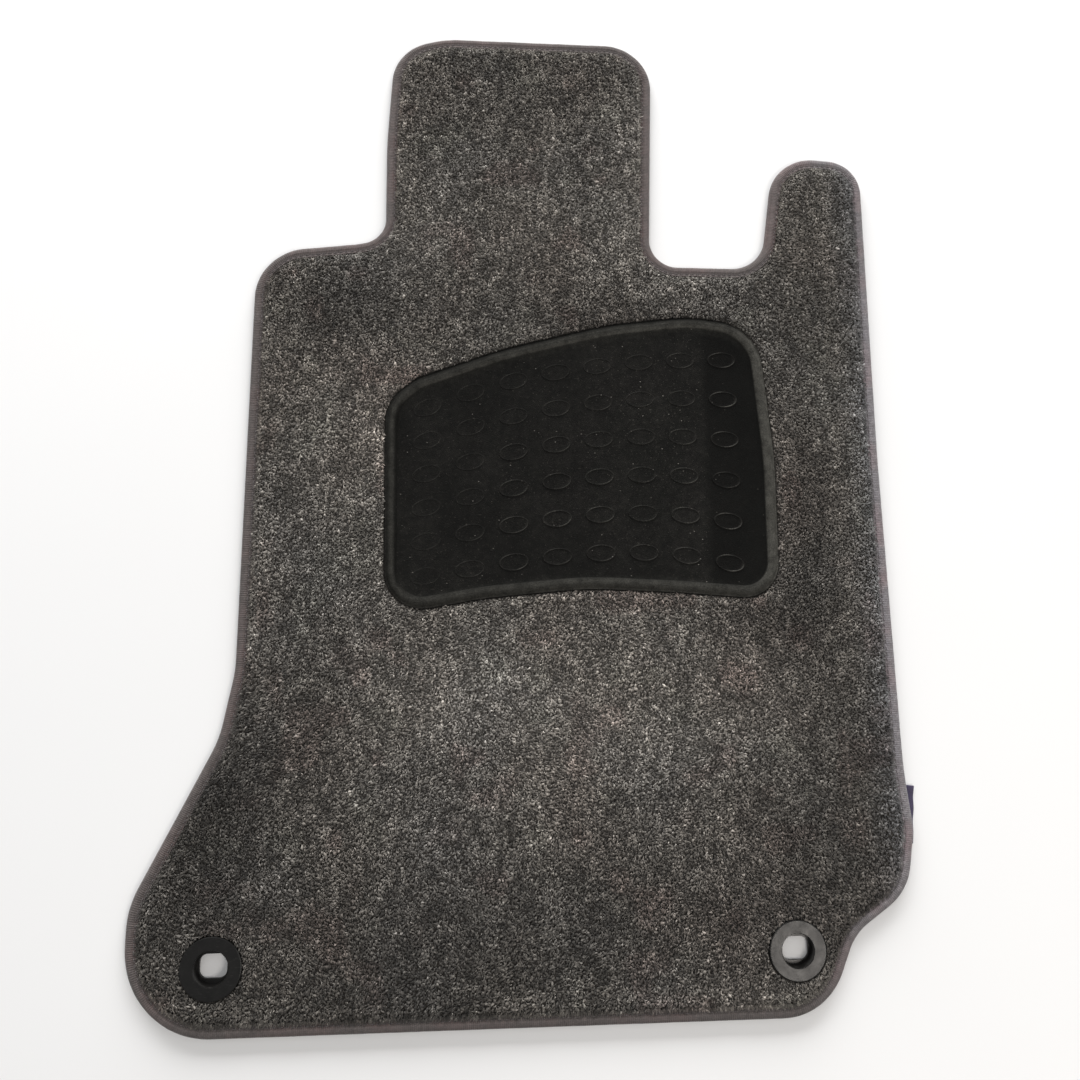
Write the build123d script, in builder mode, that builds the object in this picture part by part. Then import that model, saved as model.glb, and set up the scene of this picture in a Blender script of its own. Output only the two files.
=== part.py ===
# Driver's car floor mat: tufted velour carpet with a sewn edge binding,
# a welded rubber heel pad, two snap-in fixing eyelets and a folded side label.
#
# Frame: +Z is up, out of the pile. +Y points to the front of the car, where
# the footrest tab and the narrow tab beside the accelerator are. The origin is
# the middle of the underside's bounding box, so the mat lies on Z = 0.
import os
from math import radians, sin

from build123d import *

os.makedirs("parts", exist_ok=True)

# ----------------------------------------------------------------- dimensions
MAT_LENGTH = 700.0           # overall, along Y

# Corners of the die-cut outline, clockwise from the footrest tab:
# (x, y from the rear edge, corner radius)
OUTLINE = [
    (-102.3, 686.4, 34.7),   # footrest tab, left shoulder
    (-67.7, 700.0, 75.5),
    (94.5, 700.0, 35.1),     # footrest tab, right corner
    (88.1, 518.1, 20.7),     # accelerator notch, left inside corner
    (172.7, 518.1, 27.1),    # accelerator notch, right inside corner
    (186.6, 610.4, 35.4),    # narrow tab
    (222.3, 608.9, 40.3),
    (254.0, 606.8, 26.3),
    (251.5, 374.2, 800.0),   # door-side edge, very slightly waisted
    (253.4, 155.6, 300.0),
    (257.3, 115.5, 59.4),
    (250.5, 76.1, 38.9),     # cut-away behind the right eyelet
    (212.2, 50.2, 37.7),
    (190.3, 0.0, 44.6),      # rear right corner
    (-256.5, 0.0, 56.0),     # rear left lobe
    (-256.5, 78.3, 55.0),
    (-205.7, 181.0, 69.9),   # flare towards the sill
    (-197.5, 225.1, 93.6),
    (-197.2, 521.8, 38.2),   # front left shoulder
    (-126.6, 530.2, 60.0),
    (-105.7, 534.4, 19.5),   # inside corner beside the footrest tab
    (-106.4, 611.7, 400.0),
]

# Layers, heights above the underside
BACKING_T = 2.0              # granulate anti-slip layer
SCRIM_T = 0.6                # woven primary backing
PILE_TOP = 7.6               # top of the cut pile
SCRIM_Z = BACKING_T
PILE_Z = BACKING_T + SCRIM_T

# Folded binding tape
TAPE_T = 1.0                 # thickness of the hemmed tape
TAPE_TOP = 5.6               # height over the compressed edge
TAPE_W = 8.0                 # width of each leg
TAPE_R = 2.3                 # outside radius of the fold
CAVITY_R = TAPE_R - TAPE_T
SEAM_INSET = 6.4             # seam line, from the outer edge
THREAD_W = 0.8
THREAD_T = 0.35
GAP = 0.15                   # play between the sewn layers and the tape

# Heel pad outline: (x, y from the rear edge, corner radius)
PAD_OUTLINE = [
    (-103.0, 411.0, 32.5),
    (-81.6, 428.6, 29.0),
    (-20.1, 451.4, 305.0),
    (54.7, 471.0, 239.0),
    (114.9, 478.5, 103.6),
    (166.4, 472.1, 37.0),
    (174.2, 371.1, 310.0),
    (173.0, 270.5, 25.5),
    (98.8, 275.9, 250.0),
    (37.9, 278.7, 252.7),
    (-30.8, 272.4, 300.5),
    (-100.8, 260.2, 26.5),
]
PAD_Z = 4.4                  # underside, pressed into the pile
PAD_SKIRT_TOP = 6.0
PAD_SKIRT_W = 1.6
PAD_PLATE_TOP = 6.4
PAD_RIM_TOP = 8.4
PAD_RIM_W = 6.8
PAD_GAP = 0.4                # pile pushed back round the pad

# Oval studs, 8 columns by 6 rows, fanning between two gentle curves
STUD_L = 21.0
STUD_W = 12.0
STUD_H = 0.9
STUD_DISH = 0.4
STUD_LIP = 1.3
STUD_X0 = -73.3
STUD_PITCH_X = 30.2
STUD_COLS = 8
STUD_ROWS = 6
STUD_ROW_FRONT = [406.5, 417.8, 426.9, 433.8, 438.9, 442.4, 444.3, 445.0]
STUD_ROW_REAR = [287.4, 292.4, 297.1, 300.9, 303.4, 303.8, 301.7, 296.5]

# Snap-in eyelets
EYELET_X_LEFT = -202.0
EYELET_X_RIGHT = 171.4
EYELET_Y = 42.2              # from the rear edge
FLANGE_D = 38.4
FLANGE_Z = 5.4               # underside of the top flange, on the pile
FLANGE_TOP = 7.8
FLANGE_EDGE_R = 0.9          # rounded outer edge
BORE_CHAMFER = 0.4
BORE_D = 21.4
BARREL_D = 25.8
SNAP_Z = 3.3                 # snap bead on the barrel
SNAP_H = 0.5                 # how far the bead stands out
RING_D = 37.4
RING_T = 2.0
COLLAR_D = 30.4
COLLAR_BORE_D = 26.1
COLLAR_TOP = 4.9
KEY_W = 17.2                 # keyed opening for the floor stud
KEY_L = 14.6
KEY_R = 5.0
EYELET_HOLE_D = 31.0         # punched through the carpet

# Folded side label, sewn in under the tape and lying a little askew
LABEL_EDGE = (259.2, 124.6)  # middle of its folded outer edge
LABEL_L = 38.0
LABEL_REACH = 20.0
LABEL_TURN = -5.0            # degrees
LABEL_T = 0.6

EYELETS = {"left": EYELET_X_LEFT, "right": EYELET_X_RIGHT}

# The profiles below are drawn with X as listed and Y from the rear edge. These
# shifts bring the whole mat, label included, to the middle of the frame.
LABEL_TIP = LABEL_EDGE[0] + LABEL_L / 2 * sin(radians(-LABEL_TURN))
X_SHIFT = -(LABEL_TIP - 256.5) / 2
Y_SHIFT = -MAT_LENGTH / 2


def at(z):
    """Horizontal sketch plane at height z."""
    return Plane(origin=(X_SHIFT, Y_SHIFT, z), x_dir=(1, 0, 0), z_dir=(0, 0, 1))


def eyelet_axis(x):
    return Axis((x + X_SHIFT, EYELET_Y + Y_SHIFT, 0), (0, 0, 1))


def eyelet_section(x):
    """Vertical plane through an eyelet: local X is the radius, local Y the height."""
    return Plane(
        origin=(x + X_SHIFT, EYELET_Y + Y_SHIFT, 0), x_dir=(1, 0, 0), z_dir=(0, -1, 0)
    )


# ------------------------------------------------------------ shared profiles
with BuildSketch() as mat_profile:
    with BuildLine():
        FilletPolyline(
            *[(x, y) for x, y, r in OUTLINE],
            radius=[r for x, y, r in OUTLINE],
            close=True,
        )
    make_face()

with BuildSketch() as seam_outer:
    add(mat_profile.sketch)
    offset(amount=-(SEAM_INSET - THREAD_W / 2))

with BuildSketch() as seam_inner:
    add(mat_profile.sketch)
    offset(amount=-(SEAM_INSET + THREAD_W / 2))

with BuildSketch() as seam_line:
    add(seam_outer.sketch)
    add(seam_inner.sketch, mode=Mode.SUBTRACT)

with BuildSketch() as tape_inner:
    add(mat_profile.sketch)
    offset(amount=-TAPE_W)

with BuildSketch() as label_profile:
    with Locations(Location((*LABEL_EDGE, 0), (0, 0, LABEL_TURN))):
        Rectangle(LABEL_REACH, LABEL_L, align=(Align.MAX, Align.CENTER))
    add(tape_inner.sketch, mode=Mode.SUBTRACT)

with BuildSketch() as pad_profile:
    with BuildLine():
        FilletPolyline(
            *[(x, y) for x, y, r in PAD_OUTLINE],
            radius=[r for x, y, r in PAD_OUTLINE],
            close=True,
        )
    make_face()

# Stud centres, with the turn of each oval that keeps it along its row
stud_places = []
for col in range(STUD_COLS):
    for row in range(STUD_ROWS):
        share = row / (STUD_ROWS - 1)
        line = [
            front + (rear - front) * share
            for front, rear in zip(STUD_ROW_FRONT, STUD_ROW_REAR)
        ]
        before, after = max(col - 1, 0), min(col + 1, STUD_COLS - 1)
        slope = (line[after] - line[before]) / ((after - before) * STUD_PITCH_X)
        stud_places.append(
            Location((STUD_X0 + col * STUD_PITCH_X, line[col], 0), (0, 0, 57.3 * slope))
        )

# -------------------------------------------------------------- edge binding
with BuildPart() as edge_binding:
    # outside of the folded tape
    with BuildSketch(at(0)):
        add(mat_profile.sketch)
    extrude(amount=TAPE_TOP)
    fillet(edge_binding.faces().filter_by(Axis.Z).edges(), radius=TAPE_R)
    # the space that the carpet's edge fills
    with BuildSketch(at(TAPE_T)):
        add(mat_profile.sketch)
        offset(amount=-TAPE_T)
    extrude(amount=TAPE_TOP - 2 * TAPE_T, mode=Mode.SUBTRACT)
    fillet(
        edge_binding.faces().filter_by(Axis.Z).sort_by(Axis.Z)[1:3].edges(),
        radius=CAVITY_R,
    )
    # open between the two legs
    with BuildSketch(at(0)):
        add(tape_inner.sketch)
    extrude(amount=TAPE_TOP, mode=Mode.SUBTRACT)
    # the seam draws its threads into both legs
    with BuildSketch(at(0), at(TAPE_TOP - THREAD_T)):
        add(seam_line.sketch)
    extrude(amount=THREAD_T, mode=Mode.SUBTRACT)
    # seat for the label under the lower leg
    with BuildSketch(at(0)):
        add(label_profile.sketch)
        offset(amount=GAP)
    extrude(amount=LABEL_T, mode=Mode.SUBTRACT)
edge_binding.part.label = "edge_binding"
export_step(edge_binding.part, "parts/edge_binding.step")

# ---------------------------------------------------------- lockstitch threads
with BuildPart() as binding_stitches_top:
    with BuildSketch(at(TAPE_TOP - THREAD_T)):
        add(seam_line.sketch)
    extrude(amount=THREAD_T)
binding_stitches_top.part.label = "binding_stitches_top"
export_step(binding_stitches_top.part, "parts/binding_stitches_top.step")

with BuildPart() as binding_stitches_bottom:
    with BuildSketch(at(0)):
        add(seam_line.sketch)
    extrude(amount=THREAD_T)
binding_stitches_bottom.part.label = "binding_stitches_bottom"
export_step(binding_stitches_bottom.part, "parts/binding_stitches_bottom.step")

# ------------------------------------------------------------------ side label
with BuildPart() as side_label:
    with BuildSketch(at(0)):
        add(label_profile.sketch)
    extrude(amount=LABEL_T)
    # folded outer edge
    fillet(
        side_label.edges()
        .filter_by(lambda e: abs(e.length - LABEL_L) < 0.01)
        .sort_by(Axis.X)[-2:],
        radius=LABEL_T / 2 - 0.02,
    )
    # the bobbin thread passes under it
    with BuildSketch(at(0)):
        add(seam_line.sketch)
    extrude(amount=THREAD_T, mode=Mode.SUBTRACT)
side_label.part.label = "side_label"
export_step(side_label.part, "parts/side_label.step")

# ---------------------------------------------------------- anti-slip backing
with BuildPart() as anti_slip_backing:
    with BuildSketch(at(0)):
        add(mat_profile.sketch)
        offset(amount=-(TAPE_W + GAP))
    extrude(amount=BACKING_T)
    with BuildSketch(at(TAPE_T)):
        add(mat_profile.sketch)
        offset(amount=-(TAPE_R + GAP))
    extrude(amount=BACKING_T - TAPE_T)
    with BuildSketch(at(0)):
        with Locations(*[(x, EYELET_Y) for x in EYELETS.values()]):
            Circle(RING_D / 2 + 0.3)
    extrude(amount=BACKING_T, mode=Mode.SUBTRACT)
anti_slip_backing.part.label = "anti_slip_backing"
export_step(anti_slip_backing.part, "parts/anti_slip_backing.step")

# ------------------------------------------------------------ primary backing
with BuildPart() as primary_backing:
    with BuildSketch(at(SCRIM_Z)):
        add(mat_profile.sketch)
        offset(amount=-(TAPE_T + GAP))
        with Locations(*[(x, EYELET_Y) for x in EYELETS.values()]):
            Circle(EYELET_HOLE_D / 2, mode=Mode.SUBTRACT)
    extrude(amount=SCRIM_T)
primary_backing.part.label = "primary_backing"
export_step(primary_backing.part, "parts/primary_backing.step")

# ---------------------------------------------------------------- pile carpet
with BuildPart() as pile_carpet:
    # edge pressed flat inside the tape
    with BuildSketch(at(PILE_Z)):
        add(mat_profile.sketch)
        offset(amount=-(TAPE_T + GAP))
    extrude(amount=TAPE_TOP - TAPE_T - PILE_Z)
    fillet(pile_carpet.faces().sort_by(Axis.Z)[-1].edges(), radius=CAVITY_R)
    # free pile, rolling over at the tape
    with BuildSketch(at(TAPE_TOP - TAPE_T)):
        add(mat_profile.sketch)
        offset(amount=-(TAPE_W + 2 * GAP))
    extrude(amount=PILE_TOP - TAPE_TOP + TAPE_T)
    fillet(pile_carpet.faces().sort_by(Axis.Z)[-1].edges(), radius=2.2)
    # pressed down under the heel pad
    with BuildSketch(at(PAD_Z)):
        add(pad_profile.sketch)
        offset(amount=PAD_GAP)
    extrude(amount=PILE_TOP - PAD_Z, mode=Mode.SUBTRACT)
    # pressed down under the eyelet flanges, and punched through
    with BuildSketch(at(FLANGE_Z)):
        with Locations(*[(x, EYELET_Y) for x in EYELETS.values()]):
            Circle(FLANGE_D / 2 + 0.3)
    extrude(amount=PILE_TOP - FLANGE_Z, mode=Mode.SUBTRACT)
    with BuildSketch(at(PILE_Z)):
        with Locations(*[(x, EYELET_Y) for x in EYELETS.values()]):
            Circle(EYELET_HOLE_D / 2)
    extrude(amount=PILE_TOP - PILE_Z, mode=Mode.SUBTRACT)
pile_carpet.part.label = "pile_carpet"
export_step(pile_carpet.part, "parts/pile_carpet.step")

# ------------------------------------------------------------------- heel pad
with BuildPart() as heel_pad:
    with BuildSketch(at(PAD_Z)):
        add(pad_profile.sketch)
    extrude(amount=PAD_SKIRT_TOP - PAD_Z)
    # rounded rim bead
    with BuildSketch(at(PAD_Z)):
        add(pad_profile.sketch)
        offset(amount=-PAD_SKIRT_W)
    extrude(amount=PAD_RIM_TOP - PAD_Z)
    with BuildSketch(at(PAD_PLATE_TOP)):
        add(pad_profile.sketch)
        offset(amount=-(PAD_SKIRT_W + PAD_RIM_W))
    extrude(amount=PAD_RIM_TOP - PAD_PLATE_TOP, mode=Mode.SUBTRACT)
    fillet(
        heel_pad.faces().filter_by(Axis.Z).sort_by(Axis.Z)[-1].edges(), radius=1.9
    )
    # dished oval studs
    with BuildSketch(at(PAD_PLATE_TOP)):
        with Locations(*stud_places):
            Ellipse(STUD_L / 2, STUD_W / 2)
    extrude(amount=STUD_H)
    with BuildSketch(at(PAD_PLATE_TOP + STUD_H - STUD_DISH)):
        with Locations(*stud_places):
            Ellipse(STUD_L / 2 - STUD_LIP, STUD_W / 2 - STUD_LIP)
    extrude(amount=STUD_DISH, mode=Mode.SUBTRACT)
heel_pad.part.label = "heel_pad"
export_step(heel_pad.part, "parts/heel_pad.step")

# -------------------------------------------------------------------- eyelets
barrel_r = BARREL_D / 2
flange_r = FLANGE_D / 2
bore_r = BORE_D / 2
collar_r = COLLAR_D / 2
collar_bore_r = COLLAR_BORE_D / 2

for side, x in EYELETS.items():
    # flanged upper half: flange, barrel and snap bead in one moulding
    with BuildPart() as eyelet_top:
        with BuildSketch(eyelet_section(x)) as top_section:
            with BuildLine():
                Polyline(
                    (bore_r, RING_T),
                    (barrel_r - 0.4, RING_T),
                    (barrel_r, RING_T + 0.4),
                    (barrel_r, SNAP_Z - SNAP_H),
                    (barrel_r + SNAP_H, SNAP_Z),
                    (barrel_r + SNAP_H, SNAP_Z + 0.3),
                    (barrel_r, SNAP_Z + 0.3 + SNAP_H / 2),
                    (barrel_r, FLANGE_Z),
                    (flange_r, FLANGE_Z),
                    (flange_r, FLANGE_TOP),
                    (bore_r, FLANGE_TOP),
                    close=True,
                )
            make_face()
        revolve(axis=eyelet_axis(x))
        fillet(
            eyelet_top.edges()
            .filter_by(GeomType.CIRCLE)
            .filter_by(lambda e: e.radius > flange_r - 0.1)
            .sort_by(Axis.Z)[-1],
            radius=FLANGE_EDGE_R,
        )
        chamfer(
            eyelet_top.edges()
            .filter_by(GeomType.CIRCLE)
            .filter_by(lambda e: e.radius < bore_r + 0.1)
            .sort_by(Axis.Z)[-1],
            length=BORE_CHAMFER,
        )
    eyelet_top.part.label = f"{side}_eyelet_top"
    export_step(eyelet_top.part, f"parts/{side}_eyelet_top.step")

    # lower lock ring: plate with the keyed opening, and the collar that snaps on
    with BuildPart() as eyelet_ring:
        with BuildSketch(eyelet_section(x)) as ring_section:
            with BuildLine():
                Polyline(
                    (0, 0),
                    (RING_D / 2 - 0.5, 0),
                    (RING_D / 2, 0.5),
                    (RING_D / 2, RING_T),
                    (collar_r, RING_T),
                    (collar_r, COLLAR_TOP),
                    (collar_bore_r + 0.5, COLLAR_TOP),
                    (collar_bore_r, COLLAR_TOP - 0.5),
                    (collar_bore_r, SNAP_Z + 0.6 + SNAP_H / 2),
                    (collar_bore_r + SNAP_H, SNAP_Z + 0.5),
                    (collar_bore_r + SNAP_H, SNAP_Z - 0.2),
                    (collar_bore_r, SNAP_Z - 0.2 - SNAP_H),
                    (collar_bore_r, RING_T),
                    (0, RING_T),
                    close=True,
                )
            make_face()
        revolve(axis=eyelet_axis(x))
        with BuildSketch(at(0)):
            with Locations((x, EYELET_Y)):
                RectangleRounded(KEY_W, KEY_L, KEY_R)
        extrude(amount=RING_T, mode=Mode.SUBTRACT)
        chamfer(
            eyelet_ring.faces().filter_by(Axis.Z).sort_by(Axis.Z)[0].inner_wires()[0].edges(),
            length=0.4,
        )
    eyelet_ring.part.label = f"{side}_eyelet_ring"
    export_step(eyelet_ring.part, f"parts/{side}_eyelet_ring.step")
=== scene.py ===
import math

import bpy
import numpy as np
from mathutils import Matrix, Vector, kdtree
from mathutils.geometry import delaunay_2d_cdt


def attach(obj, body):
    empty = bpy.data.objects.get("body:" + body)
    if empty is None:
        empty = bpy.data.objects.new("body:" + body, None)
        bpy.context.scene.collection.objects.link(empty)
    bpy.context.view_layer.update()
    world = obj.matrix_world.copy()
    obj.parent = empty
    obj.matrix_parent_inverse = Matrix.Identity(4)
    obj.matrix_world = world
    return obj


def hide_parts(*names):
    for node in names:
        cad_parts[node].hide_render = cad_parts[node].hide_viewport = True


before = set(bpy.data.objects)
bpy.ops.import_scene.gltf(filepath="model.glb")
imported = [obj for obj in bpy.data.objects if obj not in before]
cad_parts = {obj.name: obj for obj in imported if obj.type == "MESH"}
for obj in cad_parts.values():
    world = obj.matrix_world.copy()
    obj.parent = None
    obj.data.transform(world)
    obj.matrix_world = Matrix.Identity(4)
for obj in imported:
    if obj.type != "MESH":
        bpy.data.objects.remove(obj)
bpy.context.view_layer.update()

MM = 0.001
scene = bpy.context.scene

# ------------------------------------------------------------------ dimensions
# The same corners as the CAD, in millimetres from the rear edge, and the shift
# to the row frame. Each is (x, y, corner radius).
X_SHIFT = -(259.2 + 19.0 * math.sin(math.radians(5.0)) - 256.5) / 2
Y_SHIFT = -350.0
OUTLINE = [
    (-102.3, 686.4, 34.7), (-67.7, 700.0, 75.5), (94.5, 700.0, 35.1),
    (88.1, 518.1, 20.7), (172.7, 518.1, 27.1), (186.6, 610.4, 35.4),
    (222.3, 608.9, 40.3), (254.0, 606.8, 26.3), (251.5, 374.2, 800.0),
    (253.4, 155.6, 300.0), (257.3, 115.5, 59.4), (250.5, 76.1, 38.9),
    (212.2, 50.2, 37.7), (190.3, 0.0, 44.6), (-256.5, 0.0, 56.0),
    (-256.5, 78.3, 55.0), (-205.7, 181.0, 69.9), (-197.5, 225.1, 93.6),
    (-197.2, 521.8, 38.2), (-126.6, 530.2, 60.0), (-105.7, 534.4, 19.5),
    (-106.4, 611.7, 400.0),
]
PAD_OUTLINE = [
    (-103.0, 411.0, 32.5), (-81.6, 428.6, 29.0), (-20.1, 451.4, 305.0),
    (54.7, 471.0, 239.0), (114.9, 478.5, 103.6), (166.4, 472.1, 37.0),
    (174.2, 371.1, 310.0), (173.0, 270.5, 25.5), (98.8, 275.9, 250.0),
    (37.9, 278.7, 252.7), (-30.8, 272.4, 300.5), (-100.8, 260.2, 26.5),
]
EYELETS = {"left": (-202.0, 42.2), "right": (171.4, 42.2)}
FLANGE_R = 19.2
RING_R = 18.7
HOLE_R = 15.5
TAPE_W = 8.0
SEAM = 6.4
PILE_TOP = 7.6
PAD_Z, PAD_PLATE, PAD_RIM = 4.4, 6.4, 8.4
STUD_FRONT = [406.5, 417.8, 426.9, 433.8, 438.9, 442.4, 444.3, 445.0]
STUD_REAR = [287.4, 292.4, 297.1, 300.9, 303.4, 303.8, 301.7, 296.5]
STUD_X0, STUD_PITCH = -73.3, 30.2
LABEL_EDGE, LABEL_L, LABEL_TURN = (259.2, 124.6), 38.0, math.radians(-5.0)


def shifted(points):
    return np.asarray(points, float) + [X_SHIFT, Y_SHIFT]


EYELET_XY = {k: shifted(v) for k, v in EYELETS.items()}


# ------------------------------------------------------------- 2-D shape tools
def resampled(line, step):
    closed = np.vstack([line, line[:1]])
    run = np.r_[0, np.cumsum(np.linalg.norm(np.diff(closed, axis=0), axis=1))]
    n = max(8, int(round(run[-1] / step)))
    s = np.arange(n) * run[-1] / n
    return np.c_[np.interp(s, run, closed[:, 0]), np.interp(s, run, closed[:, 1])]


def rounded(corners, step):
    """A closed loop with its corners filleted: points, outward normals, curvature."""
    c = np.array(corners, float)
    out = []
    for i in range(len(c)):
        a, b, d = c[i - 1, :2], c[i, :2], c[(i + 1) % len(c), :2]
        u, w = (a - b) / np.linalg.norm(a - b), (d - b) / np.linalg.norm(d - b)
        half = math.acos(float(np.clip(u @ w, -1, 1))) / 2
        reach = c[i, 2] / math.tan(half)
        mid = b + (u + w) / np.linalg.norm(u + w) * c[i, 2] / math.sin(half)
        p, q = b + u * reach - mid, b + w * reach - mid
        a1, a2 = math.atan2(p[1], p[0]), math.atan2(q[1], q[0])
        turn = (a2 - a1 + math.pi) % (2 * math.pi) - math.pi
        t = a1 + turn * np.linspace(0, 1, max(3, int(abs(turn) * c[i, 2] / 0.2)))
        out.append(mid + c[i, 2] * np.c_[np.cos(t), np.sin(t)])
    p = resampled(shifted(np.vstack(out)), step)
    t = np.roll(p, -1, 0) - np.roll(p, 1, 0)
    gap = np.linalg.norm(t, axis=1) / 2
    t /= np.linalg.norm(t, axis=1)[:, None]
    area = 0.5 * np.sum(p[:, 0] * np.roll(p[:, 1], -1) - p[:, 1] * np.roll(p[:, 0], -1))
    n = np.c_[t[:, 1], -t[:, 0]] * np.sign(area)
    bend = np.sum((np.roll(n, -1, 0) - np.roll(n, 1, 0)) * t, axis=1) / (2 * gap)
    return p, n, bend * np.sign(area) * -1


class Field:
    """Signed distance to a loop in mm, below 0 inside, read from a 1 mm grid."""

    def __init__(self, corners, pad):
        p, n, _ = rounded(corners, 0.3)
        tree = kdtree.KDTree(len(p))
        for i, (x, y) in enumerate(p):
            tree.insert((x, y, 0), i)
        tree.balance()
        self.lo = np.floor(p.min(0) - pad)
        size = (np.ceil(p.max(0) + pad) - self.lo).astype(int) + 1
        d = np.zeros(size)
        for i in range(size[0]):
            for j in range(size[1]):
                x, y = self.lo[0] + i, self.lo[1] + j
                _, k, r = tree.find((x, y, 0))
                s = (x - p[k, 0]) * n[k, 0] + (y - p[k, 1]) * n[k, 1]
                d[i, j] = s if r < 3 else math.copysign(r, s)
        self.d = d

    def __call__(self, xy):
        q = np.asarray(xy, float) - self.lo
        q = np.clip(q, 0, np.array(self.d.shape) - 1.001)
        i, f = q.astype(int), q - q.astype(int)
        g = self.d
        a, b = g[i[:, 0], i[:, 1]], g[i[:, 0] + 1, i[:, 1]]
        c, e = g[i[:, 0], i[:, 1] + 1], g[i[:, 0] + 1, i[:, 1] + 1]
        u, v = f[:, 0], f[:, 1]
        return (a * (1 - u) + b * u) * (1 - v) + (c * (1 - u) + e * u) * v

    def slope(self, xy):
        """Unit vector that points outwards."""
        xy = np.asarray(xy, float)
        g = np.c_[
            self(xy + [0.7, 0]) - self(xy - [0.7, 0]),
            self(xy + [0, 0.7]) - self(xy - [0, 0.7]),
        ]
        return g / np.maximum(np.linalg.norm(g, axis=1), 1e-6)[:, None]


def circle(centre, r, n):
    t = np.linspace(0, 2 * math.pi, n, endpoint=False)
    return np.asarray(centre) + r * np.c_[np.cos(t), np.sin(t)]


def soft_noise(xy, size, seed, octaves=2):
    """Smooth noise from -1 to 1 with features of about that size, in mm."""
    total, weight = np.zeros(len(xy)), 0.0
    for o in range(octaves):
        g = np.random.default_rng(seed + 97 * o).uniform(-1, 1, (96, 96))
        q = np.asarray(xy) / (size / 2**o) + 1000.0
        i = np.floor(q).astype(int)
        f = q - i
        f = f * f * (3 - 2 * f)
        x0, y0 = i[:, 0] % 96, i[:, 1] % 96
        x1, y1 = (x0 + 1) % 96, (y0 + 1) % 96
        v = (g[x0, y0] * (1 - f[:, 0]) + g[x1, y0] * f[:, 0]) * (1 - f[:, 1]) + (
            g[x0, y1] * (1 - f[:, 0]) + g[x1, y1] * f[:, 0]
        ) * f[:, 1]
        total += v * 0.5**o
        weight += 0.5**o
    return total / weight


def smooth(a, b, x):
    t = np.clip((x - a) / (b - a), 0, 1)
    return t * t * (3 - 2 * t)


def scattered(lo, hi, pitch, seed, jitter=0.5):
    """Points on a staggered grid, each moved by up to jitter of the pitch."""
    xs = np.arange(lo[0], hi[0], pitch)
    ys = np.arange(lo[1], hi[1], pitch * 0.866)
    x, y = np.meshgrid(xs, ys)
    x = x + (np.arange(len(ys)) % 2)[:, None] * pitch / 2
    p = np.c_[x.ravel(), y.ravel()]
    r = np.random.default_rng(seed)
    return p + r.uniform(-1, 1, p.shape) * pitch * jitter / 2


def within(points, loop):
    """True for the points that a closed loop goes round."""
    a, b = loop, np.roll(loop, -1, 0)
    x, y = points[:, :1], points[:, 1:]
    cross = (a[:, 1] > y) != (b[:, 1] > y)
    rise = np.where(b[:, 1] == a[:, 1], 1.0, b[:, 1] - a[:, 1])
    at = a[:, 0] + (y - a[:, 1]) * (b[:, 0] - a[:, 0]) / rise
    return (np.sum(cross & (x < at), axis=1) % 2).astype(bool)


def filled(loops, inner):
    """Triangles over the area inside the first loop and outside the others."""
    verts, edges = [], []
    for loop in loops:
        k = len(verts)
        verts += [tuple(p) for p in loop]
        edges += [(k + i, k + (i + 1) % len(loop)) for i in range(len(loop))]
    verts += [tuple(p) for p in inner]
    v, _, f, _, _, _ = delaunay_2d_cdt([Vector(p) for p in verts], edges, [], 1, 1e-6)
    v, f = np.array([(p.x, p.y) for p in v]), np.array([t for t in f if len(t) == 3])
    a, b, c = v[f[:, 0]], v[f[:, 1]], v[f[:, 2]]
    keep = np.ones(len(f), bool)
    mid = (a + b + c) / 3
    for loop in loops[1:]:
        box = (mid > loop.min(0) - 0.1).all(1) & (mid < loop.max(0) + 0.1).all(1)
        near = np.flatnonzero(box)
        keep[near[within(mid[near], loop)]] = False
    f, a, b, c = f[keep], a[keep], b[keep], c[keep]
    cross = (b[:, 0] - a[:, 0]) * (c[:, 1] - a[:, 1]) - (b[:, 1] - a[:, 1]) * (
        c[:, 0] - a[:, 0]
    )
    f[cross < 0] = f[cross < 0][:, ::-1]
    return v, f


# ------------------------------------------------------------------ mesh tools
def mesh_piece(name, verts, polys, materials, uv=None, smooth_faces=True, slots=None):
    """verts in mm. polys is a list of (m, k) index arrays; uv one (m, k, 2) array each."""
    me = bpy.data.meshes.new(name)
    verts = np.asarray(verts, np.float32) * MM
    me.vertices.add(len(verts))
    me.vertices.foreach_set("co", verts.ravel())
    flat = np.concatenate([p.ravel() for p in polys]).astype(np.int32)
    sizes = np.concatenate([np.full(len(p), p.shape[1]) for p in polys])
    me.loops.add(len(flat))
    me.loops.foreach_set("vertex_index", flat)
    me.polygons.add(len(sizes))
    me.polygons.foreach_set(
        "loop_start", np.r_[0, np.cumsum(sizes)[:-1]].astype(np.int32)
    )
    me.update(calc_edges=True)
    me.polygons.foreach_set("use_smooth", np.full(len(sizes), smooth_faces))
    if uv is not None:
        layer = me.uv_layers.new(name="Weave")
        layer.data.foreach_set(
            "uv", np.concatenate([u.reshape(-1) for u in uv]).astype(np.float32)
        )
    for m in materials:
        me.materials.append(m)
    if slots is not None:
        me.polygons.foreach_set("material_index", np.asarray(slots, np.int32))
    me.validate()
    ob = bpy.data.objects.new(name, me)
    scene.collection.objects.link(ob)
    return ob


def number(ob, name, values):
    a = ob.data.attributes.new(name, "FLOAT", "POINT")
    a.data.foreach_set("value", np.asarray(values, np.float32))


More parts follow.
